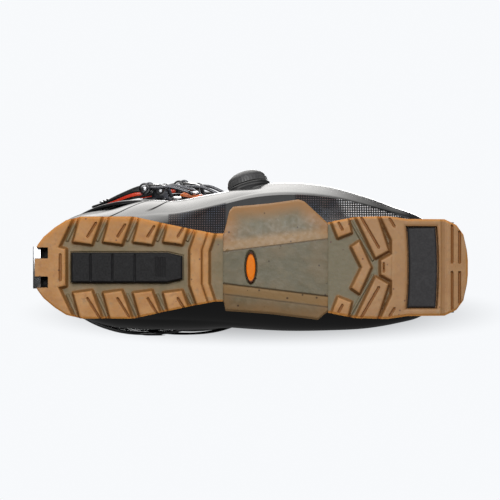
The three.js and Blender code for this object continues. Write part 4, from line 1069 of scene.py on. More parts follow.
def plate_solid(name, outline, low, high, matrix, material, bevel=0.5, sharp=40):
    """An outline in the frame's x, y between two heights along z, with chamfered rims."""
    outline = np.asarray(outline, float)
    area = np.sum(outline[:, 0] * np.roll(outline[:, 1], -1) - np.roll(outline[:, 0], -1) * outline[:, 1])
    edge = np.roll(outline, -1, 0) - np.roll(outline, 1, 0)
    normal = unit(np.stack([edge[:, 1], -edge[:, 0]], -1)) * (1 if area > 0 else -1)
    slight = bevel * 0.3
    loops = []
    for height, inset in (
        (low, bevel), (low + slight, slight), (low + bevel, 0), (high - bevel, 0), (high - slight, slight),
        (high, bevel),
    ):
        loops.append(np.concatenate([outline - normal * inset, np.full((len(outline), 1), height)], 1))
    return swept_loop(name, placed(matrix, np.array(loops)), material, sharp)


def tube(name, path, radius, material, sides=16, sharp=60):
    """A round bar through points, with rounded ends."""
    points = np.asarray(path, float)
    along = unit(np.gradient(points, axis=0))
    side = unit(np.cross(along[0], [0.3, 0.5, 0.8]))
    angles = np.linspace(0, 2 * np.pi, sides, endpoint=False)[:, None]
    last = len(points) - 1
    stations = [(0, -0.9, 0.3), (0, -0.5, 0.8)] + [(i, 0, 1) for i in range(last + 1)]
    loops = []
    for i, beyond, share in stations + [(last, 0.5, 0.8), (last, 0.9, 0.3)]:
        side = unit(side - along[i] * np.dot(side, along[i]))
        around = np.cos(angles) * side + np.sin(angles) * np.cross(along[i], side)
        loops.append(points[i] + along[i] * beyond * radius + radius * share * around)
    return swept_loop(name, np.array(loops), material, sharp)


def spline(points, count):
    """count points on a smooth curve through the given ones."""
    return table_row(points, np.linspace(0, len(points) - 1, count))


def smooth_outline(points, count):
    """A closed smooth outline through points."""
    points = np.asarray(points, float)
    wrapped = np.concatenate([points[-2:], points, points[:3]])
    return table_row(wrapped, np.linspace(2, 2 + len(points), count, endpoint=False))


FLAP_HALF, FLAP_FROM, FLAP_THICK = 36, 5.2, 3.4  # degrees, ring number, millimetres


def instep_flap(material):
    """The overlapping tongue of hard plastic over the instep, with two long grooves."""
    rows, columns = 110, 70
    degrees = np.linspace(-FLAP_HALF, FLAP_HALF, columns)[None, :]
    turn = np.radians(degrees)
    last = ring_reaching(lambda x: 152 + (x - 60) * 0.16, turn, FLAP_THICK, 14.6)
    u = FLAP_FROM + (last - FLAP_FROM) * np.linspace(0, 1, rows)[:, None]
    side = (FLAP_HALF - np.abs(degrees)) * 0.95 + 0 * u
    ends = np.minimum((u - FLAP_FROM) * 26, (last - u) * 9)
    near = np.minimum(side, ends)
    thick = FLAP_THICK - 1.6 * ramp(near, 1.8, 0.0)
    thick = thick - 0.5 * ramp(np.abs(side - 9), 1.3, 0.4) * ramp(ends, 8, 12)
    thick = thick - 0.35 * ramp(np.abs(np.abs(degrees) - 6), 3.2, 2.4) * ramp(ends, 14, 18)
    return closed_plate("instep_plate", shell_point(u, turn, thick), shell_point(u, turn, 0.8), material)


# ---------- buckles ----------
BUCKLES = [("lower", 181.0, math.radians(87.8)), ("upper", 238.0, math.radians(78.0))]
PIN_OUT = 8.6
HUB = 3.9
LEVER_HALF, BAIL_BACK, BAIL_OUT = 7.4, 12.4, 9.4
CHEEK_INNER, CHEEK_OUTER = 7.8, 9.8
BAIL_WIRE, BAIL_HALF, BAIL_RING, BAIL_REACH = 1.3, 14.0, 3.4, 24.4
LADDER_FROM, LADDER_TO, LADDER_HALF = 15.0, 45.0, 9.0
LADDER_LOW, LADDER_THICK = FLAP_STEP + 0.6, 2.2
LADDER_TOP = LADDER_LOW + LADDER_THICK
LADDER_TEETH = [18.2, 20.9, 28.4, 31.2]
LADDER_RIVETS = [34.0, 41.0]
TAB_HALF = 7.6
# Outlines of the lever and of its lining: (distance forward of the pin, offset off the cuff).
LEVER_SKIN = [
    (-3, 12.6), (-8, 13.0), (-14, 12.6), (-20, 11.3), (-27, 9.2), (-34, 7.4), (-41, 6.0), (-48, 5.4),
    (-54, 6.2), (-54.5, 4.6), (-48, 3.0), (-41, 3.2), (-34, 4.2), (-27, 5.8), (-20, 7.2), (-13, 6.6),
    (-8, 6.2),
]
LEVER_LINING = [
    (-44, 3.0), (-38, 3.5), (-32, 4.5), (-26, 5.9), (-20, 7.0), (-15, 6.9), (-15, 4.6), (-20, 4.2),
    (-26, 3.4), (-32, 2.3), (-38, 1.7), (-44, 1.9),
]


class Buckle:
    """Places on the cuff round one buckle's pin, and the pieces of the buckle."""

    def __init__(self, name, level, turn, paints):
        self.name, self.level, self.turn, self.paints = name, level, turn, paints
        self.frame = cuff_frame(level, turn)
        self.inverse = np.linalg.inv(self.frame)
        turns = np.linspace(turn - 1.6, turn + 1.6, 1200)
        steps = np.linalg.norm(np.diff(cuff_surface(level, turns), axis=0), axis=1)
        run = np.concatenate([[0], np.cumsum(steps)])
        self.run, self.turns = run - np.interp(turn, turns, run), turns

    def turn_ahead(self, distance):
        return np.interp(-np.asarray(distance, float), self.run, self.turns)

    def strap(self, distance, offset):
        """Local point a distance forward along the strap and an offset off the cuff."""
        return placed(self.inverse, cuff_point(self.level, self.turn_ahead(distance), offset))

    def outline(self, pairs):
        return [self.strap(distance, offset)[:2] for distance, offset in pairs]

    def plate(self, label, outline, low, high, paint, bevel, sharp=40):
        return plate_solid(
            f"{self.name}_{label}", outline, low, high, self.frame, self.paints[paint], bevel, sharp,
        )

    def bracket(self):
        """A foot on the cuff and two cheeks."""
        stretch = np.linspace(-9.5, 9.5, 12)
        foot = self.outline([(d, 2.5) for d in stretch] + [(d, 0.45) for d in stretch[::-1]])
        foot = self.plate("bracket_foot", foot, -CHEEK_OUTER, CHEEK_OUTER, "dark_metal", 0.4)
        stands_for(foot, "cuff", "dark_metal", f"{self.name}_bracket")
        cheek = self.outline([(d, 0.6) for d in (-8, -4, 0, 4, 8)])
        cheek += [(x, -PIN_OUT - beyond) for x, beyond in ((4.4, 1.6), (2.4, 3.3), (-2.4, 3.3), (-4.4, 1.6))]
        for label, ends in (("down", (-CHEEK_OUTER, -CHEEK_INNER)), ("up", (CHEEK_INNER, CHEEK_OUTER))):
            plate = self.plate(f"bracket_cheek_{label}", rounded(cheek, 2.2, 5), *ends, "dark_metal", 0.35)
            stands_for(plate, "cuff", "dark_metal")

    def lever(self):
        """A curved arm hugging the cuff, with a coloured lining under it and a grip of three bars."""
        body = f"{self.name}_lever"
        hub = [(HUB * math.cos(a), -PIN_OUT + HUB * math.sin(a)) for a in np.radians(range(100, -101, -20))]
        arm = smooth_outline(self.outline(LEVER_SKIN) + hub, 110)
        arm = self.plate("lever_arm", arm, -LEVER_HALF, LEVER_HALF, "lever", 0.8, 50)
        stands_for(arm, body, "lever_black", body)
        lining, half = smooth_outline(self.outline(LEVER_LINING), 60), LEVER_HALF + 0.3
        stands_for(self.plate("lever_lining", lining, -half, half, "red", 0.4), body, "orange_plastic")
        for i, distance in enumerate((-47, -44.4, -41.8)):
            middle = self.strap(distance, 5.95)
            bar = [middle + [0, 0, z] for z in np.linspace(-LEVER_HALF + 1.4, LEVER_HALF - 1.4, 5)]
            bar = tube(f"{body}_grip_{i + 1}", placed(self.frame, bar), 0.55, self.paints["lever"], 10)
            stands_for(bar, body, "lever_black")

    def pins(self):
        """Two pins with domed heads, each with two washers."""
        body = f"{self.name}_lever"
        for label, half, radius, head, x, y, rides in (
            ("lever_pin", CHEEK_OUTER + 0.3, 1.9, 3.3, 0, -PIN_OUT, "cuff"),
            ("bail_pin", LEVER_HALF + 3.6, 1.6, 3.0, -BAIL_BACK, -BAIL_OUT, body),
        ):
            name = f"{self.name}_{label}"
            arc = np.radians(np.linspace(0, 86, 9))
            dome = [(head * math.cos(a), half + 0.5 + 1.7 * math.sin(a)) for a in arc]
            end = [(radius, half - 0.1), (head, half)] + dome
            matrix = self.frame @ frame_of((x, y, 0))
            profile = [(r, -h) for r, h in end[::-1]] + end
            pin = lathe(f"{name}_turned", profile, matrix, self.paints["steel"], 36, 50)
            stands_for(pin, rides, "steel", name)
            washer = [
                (head + 0.2, half - 0.5), (head + 1.2, half - 0.4), (head + 1.2, half + 0.1),
                (head + 0.2, half + 0.25),
            ]
            for side, spot in ((-1, "down"), (1, "up")):
                profile = [(r, side * h) for r, h in washer]
                spot = f"{name}_washer_{spot}"
                ring = lathe(spot, profile, matrix, self.paints["lever"], 36, 50, ring=True)
                stands_for(ring, rides, "lever_black")

    def bail(self):
        """A bent wire with an eye at each end."""
        body = f"{self.name}_bail"
        over = LADDER_TOP + BAIL_WIRE + 0.5
        x, y, eye_z = -BAIL_BACK, -BAIL_OUT, LEVER_HALF + 1.9
        mid, near, end = self.outline([(8, over + 2.6), (BAIL_REACH - 5, over + 1), (BAIL_REACH, over)])
        arm = [
            (x + BAIL_RING + 0.4, y, eye_z), (x + BAIL_RING + 3.6, y - 0.6, BAIL_HALF - 0.8),
            (x + BAIL_RING + 7, y - 0.8, BAIL_HALF), (*mid, BAIL_HALF), (*near, BAIL_HALF - 0.4),
            (end[0] - 0.8, end[1], BAIL_HALF - 2), (*end, BAIL_HALF - 4.4),
        ]
        path = spline(arm + [(a, b, -c) for a, b, c in arm[::-1]], 120)
        wire = tube(f"{body}_wire", placed(self.frame, path), BAIL_WIRE, self.paints["bail"], 14)
        stands_for(wire, body, "steel", body)
        angles = np.linspace(0, 2 * np.pi, 12, endpoint=False)
        section = [(BAIL_RING + BAIL_WIRE * math.cos(a), BAIL_WIRE * math.sin(a)) for a in angles]
        for side, label in ((-1, "down"), (1, "up")):
            matrix = self.frame @ frame_of((x, y, side * eye_z))
            eye = lathe(f"{body}_eye_{label}", section, matrix, self.paints["bail"], 32, 50, ring=True)
            stands_for(eye, body, "steel")

    def strap_plate(self, label, reach, level, height, low, paint, sharp=45):
        """A plate along the strap, between two offsets off the cuff."""
        turns = self.turn_ahead(reach) + 0 * level
        return closed_plate(
            f"{self.name}_{label}", cuff_point(level, turns, height), cuff_point(level, turns, low),
            self.paints[paint], sharp,
        )

    def ladder(self):
        """A toothed strap with a dark tab at its end and two rivets."""
        reach = LADDER_FROM + (LADDER_TO - LADDER_FROM) * np.linspace(0, 1, 70)[:, None]
        across = np.linspace(-1, 1, 24)[None, :]
        width = LADDER_HALF - 2.4 * ramp(reach, LADDER_TO - 6, LADDER_TO) ** 2
        width = width - 1.2 * ramp(reach, LADDER_FROM + 3, LADDER_FROM) ** 2
        inset = np.minimum(reach - LADDER_FROM, LADDER_TO - reach)
        inset = np.minimum((1 - np.abs(across)) * LADDER_HALF, inset)
        height = LADDER_TOP - 0.7 * ramp(inset, 0.9, 0)
        for at in LADDER_TEETH:
            slope = np.clip((reach - at + 2.2) / 2.2, 0, 1) * ramp(reach, at + 1.1, at + 0.4)
            height = height + 1.7 * slope * ramp(np.abs(across), 0.78, 0.68)
        height = height - 0.35 * ramp(np.abs(np.abs(across) * LADDER_HALF - 7.4), 0.8, 0.3)
        level = self.level + across * width / 0.94
        strap = self.strap_plate("ladder_strap", reach, level, height, LADDER_LOW, "orange", 35)
        stands_for(strap, "cuff", "orange_plastic", f"{self.name}_ladder")

        reach = np.linspace(LADDER_TO - 7.4, LADDER_TO + 0.6, 20)[:, None]
        across = np.linspace(-1, 1, 20)[None, :]
        level = self.level + across * (TAB_HALF - 1.6 * ramp(reach, LADDER_TO - 4, LADDER_TO + 0.6)) / 0.94
        edge = np.minimum(np.minimum(reach - reach[0], reach[-1] - reach), (1 - np.abs(across)) * TAB_HALF)
        height = LADDER_TOP + 0.9 - 0.7 * ramp(edge, 0.9, 0)
        tab = self.strap_plate("ladder_tab", reach, level, height, LADDER_TOP - 0.2, "lever")
        stands_for(tab, "cuff", "lever_black")

        top = LADDER_TOP
        profile = [
            (0.3, top - 1), (2.9, top - 1), (2.9, top + 1.1), (2.5, top + 1.6), (1.6, top + 2.0),
            (1.1, top + 2.0), (0.9, top + 1.5), (0.2, top + 1.5),
        ]
        outward = frame_of((0, 0, 0), (1, 0, 0), (0, 0, -1), (0, -1, 0))
        for i, distance in enumerate(LADDER_RIVETS):
            matrix = cuff_frame(self.level, self.turn_ahead(distance)) @ outward
            rivet = lathe(f"{self.name}_rivet_{i + 1}", profile, matrix, self.paints["steel"], 28, 40)
            stands_for(rivet, "cuff", "steel", f"{self.name}_ladder_rivet_{i + 1}")


# ---------- dial and lace ----------
DIAL_RING, DIAL_TURN = 7.35, math.radians(74)
DIAL_BASE, DIAL_KNOB, DIAL_SPOOL = 17.0, 15.2, 7.9
KNURLS = 36
LACE_RADIUS, LACE_RIDES = 0.9, 5.4
LACE_GUIDES = [[5.95, -44], [7, 44], [8.6, -44], [9.8, 44]]
# Ring number and degrees from the top: out of the dial, then across the instep from guide to guide.
LACE_ROUTE = [
    [6.95, 59.5], [6.8, 52], [6.55, 38], [6.35, 19], [6.15, 0], [5.95, -18], [5.75, -34], [5.72, -40],
    [5.8, -44.5], [5.95, -46], [6.1, -44.5], [6.18, -40], [6.25, -31], [6.4, -16], [6.5, 0], [6.6, 18],
    [6.7, 34], [6.74, 40], [6.85, 44.5], [7, 46], [7.15, 44.5], [7.26, 40], [7.4, 31], [7.65, 16], [7.85, 0],
    [8.05, -17], [8.22, -34], [8.28, -40], [8.4, -45], [8.6, -47], [8.82, -45], [8.93, -40], [9, -31],
    [9.2, -16], [9.4, 0], [9.6, 17], [9.75, 34], [9.8, 42],
]


def dial_pieces(paints):
    """The dial's base ring, the spool in it and the knurled knob over both."""
    matrix = shell_frame(DIAL_RING, DIAL_TURN)
    inner, r = DIAL_SPOOL + 0.4, DIAL_BASE
    base = [
        (inner, -5), (r + 0.9, -5), (r + 0.9, -0.6), (r + 0.6, 0.4), (r + 0.2, 1.0), (r + 0.1, 1.3),
        (r - 0.1, 1.7), (r - 0.1, 2.5), (r - 0.7, 3.3), (r - 1.2, 3.6), (inner, 3.6),
    ]
    foot = lathe("dial_base_ring", base, matrix, paints["dial_base"], 96, 40, ring=True)
    stands_for(foot, "shell", "dial_plastic", "dial_base")
    axle = 4.2
    drum = [(0.3, 0.4), (DIAL_SPOOL, 0.4), (DIAL_SPOOL, 5.6), (axle, 5.6), (axle, 9.4), (0.3, 9.4)]
    stands_for(lathe("dial_spool_turned", drum, matrix, paints["steel"]), "dial_spool", "steel", "dial_spool")

    def knurl(turns, radius, height):
        grip = ramp(height, 4.6, 5.2) * ramp(height, 8.6, 7.6)
        teeth = np.abs((turns * KNURLS / (2 * np.pi)) % 1 - 0.5) * 2
        return -0.3 * grip * ramp(teeth, 0.2, 0.8) * (radius > 12)

    crown = DIAL_KNOB - 0.6
    profile = [(0.2, 9.8), (4.6, 9.8), (4.6, 6.2), (9, 6.2), (9, 4.2), (DIAL_KNOB - 0.8, 4.2)]
    profile += [(DIAL_KNOB, 4.6), (DIAL_KNOB, 7.8), (crown, 8.2), (crown - 0.1, 8.6)]
    profile += [(crown * math.cos(a), 8.6 + 7.3 * math.sin(a)) for a in np.radians(np.linspace(6, 86, 17))]
    knob = lathe("dial_knob_turned", profile + [(0.2, 15.9)], matrix, paints["dial"], 288, 30, knurl)
    stands_for(knob, "dial_knob", "dial_plastic", "dial_knob")


def lace_and_guides(paints):
    route = [shell_point(u, math.radians(v), LACE_RIDES - (1.2 if abs(v) > 50 else 0)) for u, v in LACE_ROUTE]
    lace = tube("dial_lace_braid", spline(route, 420), LACE_RADIUS - 0.05, paints["lace"], 10)
    stands_for(lace, "shell", "lace", "dial_lace")
    outline = rounded([[-9, 0], [-7, -4.6], [7, -4.6], [9, 0], [7, 4.6], [-7, 4.6]], 2.0, 5)
    head = [(0.2, 6.4), (2.3, 6.4), (2.3, 7.05), (1.9, 7.3), (0.9, 7.3), (0.8, 6.7), (0.2, 6.7)]
    for i, (u, v) in enumerate(LACE_GUIDES):
        name, matrix = f"lace_guide_{i + 1}", shell_frame(u, math.radians(v))
        guide = plate_solid(f"{name}_cap", outline, -1.5, 7.0, matrix, paints["lever"], 1.2, 50)
        stands_for(guide, "shell", "shell_gloss", name)
        stands_for(lathe(f"{name}_screw", head, matrix, paints["steel"], 28), "shell", "steel")


def braid():
    """Dark braided lace with a lighter tracer."""
    paint = Paint("braided lace")
    x, _, z = paint.axes()
    strands = paint.times(paint.wave(x, 1.3 * MM), paint.wave(z, 1.3 * MM))
    return paint.finished(paint.mix(strands, "151517", "3A3A3D"), 0.6, (strands, 0.15))


# ---------- soft parts ----------
def webbing_material():
    """Ribbed dark webbing: a fine warp along the strap, crossed by the weft."""
    paint = Paint("webbing", Sheen_Weight=0.25)
    warp = paint.between(paint.wave(paint.attribute("level"), 1.1), 0.2, 0.8)
    weft = paint.wave(paint.attribute("degrees"), 1.3)
    weave = paint.times(warp, paint.math("MULTIPLY_ADD", weft, 0.5, 0.5))
    return paint.finished(paint.mix(weave, "0E0E10", "2C2D30"), 0.85, (weave, 0.25))


STRAP_LOW, STRAP_HIGH = 262.3, 285.7


def power_strap(material):
    """A strap once round the top of the cuff, whose end comes down beside the outer flap."""
    stations = np.linspace(80.5, 466, 300)

    def outer(level, d):
        landing = smooth((d - 427) / 12) * (FLAP_STEP - 1.8 - 0.6)
        return wrap_offset(d) + 0.5 - landing + 1.7 + 0.12 * np.sin(level * 0.9 + d * 0.06)

    low, high = np.full((2, len(stations)), [[STRAP_LOW], [STRAP_HIGH]])
    return wrap_solid("power_strap_band", stations, low, high, outer, 1.6, 24, 0.6, material, 60)


def knit_material():
    """Dark knitted liner fabric."""
    paint = Paint("liner fabric", Sheen_Weight=0.4, Sheen_Roughness=0.4)
    knit = paint.times(paint.wave(paint.attribute("level"), 1.2), paint.wave(paint.attribute("degrees"), 1.5))
    colour = paint.layers("1A1B1E", (paint.blotches(9, 3), "232428"), (paint.times(knit, 0.6), "3A3C42"))
    return paint.finished(colour, 0.9, (knit, 0.2))


LINER_BACK = 4.4
LINER_THICK = 8.0
LINER_CUT = 90.0  # radius round the hinge where the leg part of the liner ends
LINER_TOP = 318.0
LINER_OPENING = 30  # degrees from the front at which the leg part ends on each side
TONGUE_BACK = LINER_BACK + 2.4
TONGUE_LOW, TONGUE_TOP, TONGUE_HALF = 163, 320, 27


def rounded_end(distance, radius, most):
    """How much a pad thins on each face, at a distance from its end."""
    share = min(1.0, distance / radius)
    return (1 - math.sqrt(max(0.0, 1 - (1 - share) ** 2))) * most


def padded(name, degrees, section, material):
    """A pad on the inside of the cuff. section(d) gives the levels and offsets of its outer face, the top
    roll, the inner face and the lower edge."""
    loops, across = [], []
    for d in degrees:
        levels, offsets = (np.concatenate(part) for part in zip(*section(d)))
        loops.append(cuff_point(levels, math.radians(d), offsets))
        across.append(levels)
    marks = {"level": np.array(across), "degrees": np.repeat(degrees, len(across[0]))}
    return swept_loop(name, np.array(loops), material, 60, marks)


def liner_leg(material):
    """The padded leg of the liner: two seams behind, quilted channels, and a rolled collar at the top."""
    roll, bottom = np.radians(np.linspace(15, 165, 9)), np.radians(np.linspace(15, 165, 7))
    levels = np.linspace(120, 300, 200)
    last = 360 - LINER_OPENING

    def section(d):
        # the lowest level keeps outside the cut round the hinge
        inside = cuff_point(levels, math.radians(d), -LINER_BACK - LINER_THICK)
        outside = np.hypot(inside[:, 0] - PIVOT_X, inside[:, 2] - PIVOT_Z) > LINER_CUT + 1
        low = levels[outside][0] if outside.any() else 300.0
        rows = np.linspace(low, LINER_TOP - 6, 60)
        quilt = 0.7 * np.abs(np.sin((rows - 150) * math.pi / 24)) ** 0.5 * ramp(rows, low, low + 10)
        seam = 0.9 * ramp(abs((d + 180) % 360), 2.2, 0.8) + 0.9 * ramp(abs(abs(d - 180) - 62), 2.0, 0.8)
        # above the shell the liner fills the cuff
        fill = (1.5 + 0.97 * wrap_offset(d)) * ramp(rows, 150, 170)
        outer = -LINER_BACK - 0.7 + quilt - seam + fill
        inner = -LINER_BACK - LINER_THICK + 0.9 - quilt * 0.9 + seam
        shrink = rounded_end(min(d - LINER_OPENING, last - d), 8, 3.4)
        arc = (outer[-1] + inner[-1]) / 2 + ((outer[-1] - inner[-1]) / 2 + 0.3 - shrink) * np.cos(roll)
        edge = -LINER_BACK - LINER_THICK / 2 - (LINER_THICK / 2 - 0.9 - shrink) * np.cos(bottom)
        return (
            (rows, outer - shrink), (LINER_TOP - 6 + 6 * np.sin(roll), arc),
            (rows[::-1], (inner + shrink)[::-1]), (low + 2.5 - 2.5 * np.sin(bottom), edge),
        )

    return padded("liner_leg", np.linspace(LINER_OPENING, last, 150), section, material)


def liner_tongue(material):
    """The tongue: a crowned pad with three channels."""
    roll = np.radians(np.linspace(15, 165, 9))
    rows = np.linspace(TONGUE_LOW, TONGUE_TOP, 90)
    middle, half = -TONGUE_BACK - LINER_THICK / 2, LINER_THICK / 2

    def section(d):
        shrink = rounded_end(TONGUE_HALF - abs(d), 7, 3.2)
        face = half - 1 + 0.8 * abs(math.cos(d * math.pi / 18)) ** 0.5 - shrink + 0 * rows
        return (
            (rows, middle + face),
            (TONGUE_TOP + 5.5 * np.sin(roll), middle + (half - 0.3 - shrink) * np.cos(roll)),
            (rows[::-1], middle - face),
            (TONGUE_LOW - 2 * np.sin(roll), middle - (half - 1 - shrink) * np.cos(roll)),
        )

    return padded("liner_tongue_pad", np.linspace(-TONGUE_HALF, TONGUE_HALF, 50), section, material)


def liner_sock(material):
    """The foot of the liner: a soft skin with rounded edges and quilted rows across the foot."""
    sock = linked("liner_sock", repainted("liner_foot", material))
    remesh = sock.modifiers.new("even skin", "REMESH")
    remesh.mode = "VOXEL"
    remesh.voxel_size = 2.2 * MM
    soften = sock.modifiers.new("soften", "SMOOTH")
    soften.factor, soften.iterations = 0.5, 6
    bpy.context.view_layer.update()
    shaped = bpy.data.meshes.new_from_object(sock.evaluated_get(bpy.context.evaluated_depsgraph_get()))
    sock.modifiers.clear()
    sock.data = shaped
    points, normals = np.empty((2, len(shaped.vertices) * 3))
    shaped.vertices.foreach_get("co", points)
    shaped.vertices.foreach_get("normal", normals)
    points, normals = points.reshape(-1, 3), normals.reshape(-1, 3)
    rows = 0.9 * np.abs(np.sin(points[:, 0] / MM * math.pi / 22)) ** 0.4 - 1.1
    points = points + normals * rows[:, None] * MM
    shaped.vertices.foreach_set("co", points.ravel())
    shaped.polygons.foreach_set("use_smooth", [True] * len(shaped.polygons))
    add_attributes(shaped, {"level": points[:, 0] / MM, "degrees": points[:, 1] / MM * 1.4})
    shaped.update()
    return sock


# ---------- the machined and moulded parts that keep their CAD shape, refined ----------
def repainted(node, material):
    """A copy of a CAD node's mesh with another material."""
    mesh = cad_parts[node].data.copy()
    mesh.materials.clear()
    mesh.materials.append(material)
    return mesh


def refined(node, material, bevel, body, slot):
    """A copy of a CAD node with its flat faces joined and its edges rounded."""
    mesh = repainted(node, material)
    tool = bmesh.new()
    tool.from_mesh(mesh)
    bmesh.ops.remove_doubles(tool, verts=tool.verts, dist=0.002 * MM)
    bmesh.ops.dissolve_limit(tool, angle_limit=math.radians(2), verts=tool.verts, edges=tool.edges)
    bmesh.ops.dissolve_degenerate(tool, edges=tool.edges, dist=0.01 * MM)
    edges = [
        e for e in tool.edges
        if len(e.link_faces) == 2 and e.calc_face_angle(0) > math.radians(28) and e.calc_length() > 0.3 * MM
    ]
    bmesh.ops.bevel(
        tool, geom=edges, offset=bevel * MM, segments=2, profile=0.6, affect="EDGES", clamp_overlap=True,
    )
    tool.to_mesh(mesh)
    tool.free()
    shade_smooth(mesh, 38)
    return stands_for(linked(f"{node}_finished", mesh), body, slot, node)


def felt_material():
    """Grey felted top of the footbed."""
    paint = Paint("footbed felt", Sheen_Weight=0.4)
    colour = paint.mix(paint.blotches(4, 5), "4A4C50", "6A6C70")
    return paint.finished(colour, 0.95, (paint.noise(0.6, 4), 0.15))


def trim_sides(obj, reach):
    """Flattens what stands further than reach from the boot's middle plane, in millimetres."""
    for vertex in obj.data.vertices:
        y = vertex.co.y
        vertex.co.y = math.copysign(min(abs(y), reach * MM), y)


# ---------- camera, light and floor ----------
CAMERA_HEIGHT = 1500.0  # below the sole
FRAME_WIDTH = 354.5  # what the picture spans at the sole
LOOKS_AT = (87.4, -3.9)
SENSOR = 36.0


def make_camera():
    """Straight up at the sole, with the toe to the right and the lateral side up."""
    data = bpy.data.cameras.new("camera")
    data.sensor_width = SENSOR
    data.lens = SENSOR * CAMERA_HEIGHT / FRAME_WIDTH
    data.shift_y = 0.024
    data.clip_start = 0.01
    camera = linked("camera", data)
    camera.location = Vector((*LOOKS_AT, -CAMERA_HEIGHT)) * MM
    camera.rotation_euler = (math.pi, 0, 0)
    bpy.context.scene.camera = camera


def staged_card(name, corners, paint, hidden_from):
    """A card of the studio, hidden from some kinds of ray."""
    card = mesh_object(name, corners, [(0, 1, 2, 3)], paint.material)
    for ray in hidden_from:
        setattr(card, f"visible_{ray}", False)


def show_by(paint, amount):
    """The material shows by amount and is clear otherwise."""
    mix = paint.node("ShaderNodeMixShader")
    clear = paint.node("ShaderNodeBsdfTransparent")
    for socket, value in zip(mix.inputs, (amount, clear.outputs[0], paint.shader.outputs[0])):
        paint.feed(socket, value)
    paint.show(mix.outputs[0])


def from_front(paint):
    """1 where a card is seen from its front."""
    return paint.math("SUBTRACT", 1.0, paint.node("ShaderNodeNewGeometry").outputs["Backfacing"])


def make_floor():
    """A pale floor that is seen only from above."""
    paint = Paint("floor", Roughness=0.8)
    paint.set("Base Color", paint.mix(paint.blotches(400, 2, 0.3, 0.7), "E9EAEC", "EDEEF0"))
    show_by(paint, from_front(paint))
    half = 1500.0
    corners = [(-half, -half, -0.5), (half, -half, -0.5), (half, half, -0.5), (-half, half, -0.5)]
    staged_card("floor", corners, paint, ("shadow", "glossy", "diffuse"))


def make_contact_shadow():
    """The faint shadow of the foot on the pale table it lies on, seen only from the side of the sole."""
    paint = Paint("contact shadow", Specular_IOR_Level=0.0)
    x, y, _ = paint.axes()
    paint.set("Base Color", paint.mix(paint.noise(60, 2), "000000", "050505"))
    amount = paint.between(paint.oval((x, y), (0.1, 0.036), (0.2, 0.027)), 1.0, 0.35, 0.0, 0.5)
    show_by(paint, paint.times(amount, paint.between(y, 0.0, 0.03), from_front(paint)))
    corners = [(-150, 110, 130), (350, 110, 130), (350, -20, 130), (-150, -20, 130)]
    staged_card("contact_shadow", corners, paint, ("shadow", "glossy", "diffuse"))


def make_lamp(name, place, target, size, watts):
    data = bpy.data.lights.new(name, "AREA")
    data.shape = "RECTANGLE"
    data.size, data.size_y = size[0] * MM, size[1] * MM
    data.energy = watts
    lamp = linked(name, data)
    lamp.location = Vector(place) * MM
    lamp.rotation_euler = (Vector(target) - Vector(place)).to_track_quat("-Z", "Y").to_euler()
    lamp.visible_camera = False


def make_world():
    """A white surround to the camera; as a light it is bright on the lateral side, dim on the medial one."""
    world = bpy.data.worlds.new("studio")
    world.use_nodes = True
    bpy.context.scene.world = world
    tree = world.node_tree
    axes, fade, mix = (tree.nodes.new(f"ShaderNode{kind}") for kind in ("SeparateXYZ", "MapRange", "Mix"))
    fade.interpolation_type = "SMOOTHSTEP"
    mix.data_type = "RGBA"
    for socket, value in zip(list(fade.inputs)[1:5], (-0.8, 0.1, 0.34, 0.05)):
        socket.default_value = value
    mix.inputs[7].default_value = (0.935, 0.95, 0.97, 1)
    for output, socket in (
        (tree.nodes.new("ShaderNodeTexCoord").outputs["Generated"], axes.inputs[0]),
        (axes.outputs["Y"], fade.inputs[0]),
        (tree.nodes.new("ShaderNodeLightPath").outputs["Is Camera Ray"], mix.inputs[0]),
        (fade.outputs["Result"], mix.inputs[6]),
        (mix.outputs[2], tree.nodes["Background"].inputs["Color"]),
    ):
        tree.links.new(output, socket)


def make_soft_box():
    """A tall glowing card on the lateral side that fades out towards the toe and at its top and bottom."""
    paint = Paint("soft box")
    x, _, z = paint.axes()
    along = paint.between(x, 0.7, 0.05, 0.04, 1.0)
    across = paint.times(paint.between(z, -0.3, 0.05), paint.between(z, 0.9, 3.6, 1.0, 0.3))
    glow = paint.node("ShaderNodeEmission")
    glow.inputs["Color"].default_value = (1.0, 0.985, 0.96, 1)
    paint.feed(glow.inputs["Strength"], paint.times(along, across, 1.9))
    paint.show(glow.outputs[0])
    corners = [(-1000, -1000, -300), (1100, -1000, -300), (1100, -1000, 6000), (-1000, -1000, 6000)]
    staged_card("soft_box", corners, paint, ("camera",))


def make_lights():
    make_world()
    make_soft_box()
    make_lamp("front fill", (90, -500, -1300), (90, 0, 20), (1200, 900), 14)
    make_lamp("top", (300, -300, 1600), (90, 0, 100), (600, 600), 6)


# ---------- the scene ----------
# Parts finished from their CAD shape: node, paint, body, bevel, and how far it may stand out to its side.
FINISHED_PARTS = [
    ("lock_plate", "dark_metal", "shell", 0.5, None),
    ("lock_pin", "steel", "shell", 0.2, None),
    ("lock_bar", "dark_metal", "lock_bar", 0.4, None),
    ("walk_lever", "lever", "walk_lever", 0.7, None),
    ("lever_bracket", "dark_metal", "cuff", 0.5, None),
    ("lever_axle", "steel", "cuff", 0.2, None),
    ("bar_axle", "steel", "cuff", 0.2, None),
    ("heel_insert", "steel", "shell", 0.5, None),
    ("heel_insert_screw", "steel", "shell", 0.2, None),
    ("pivot_bolt_lateral", "dark_metal", "shell", 0.4, 52.0),
    ("pivot_bolt_medial", "dark_metal", "shell", 0.4, 51.4),
    ("toe_insert_lateral", "steel", "shell", 0.4, 32.3),
    ("toe_insert_medial", "steel", "shell", 0.4, 32.3),
]
SLOTS = {"steel": "steel", "dark_metal": "dark_metal", "lever": "lever_black"}


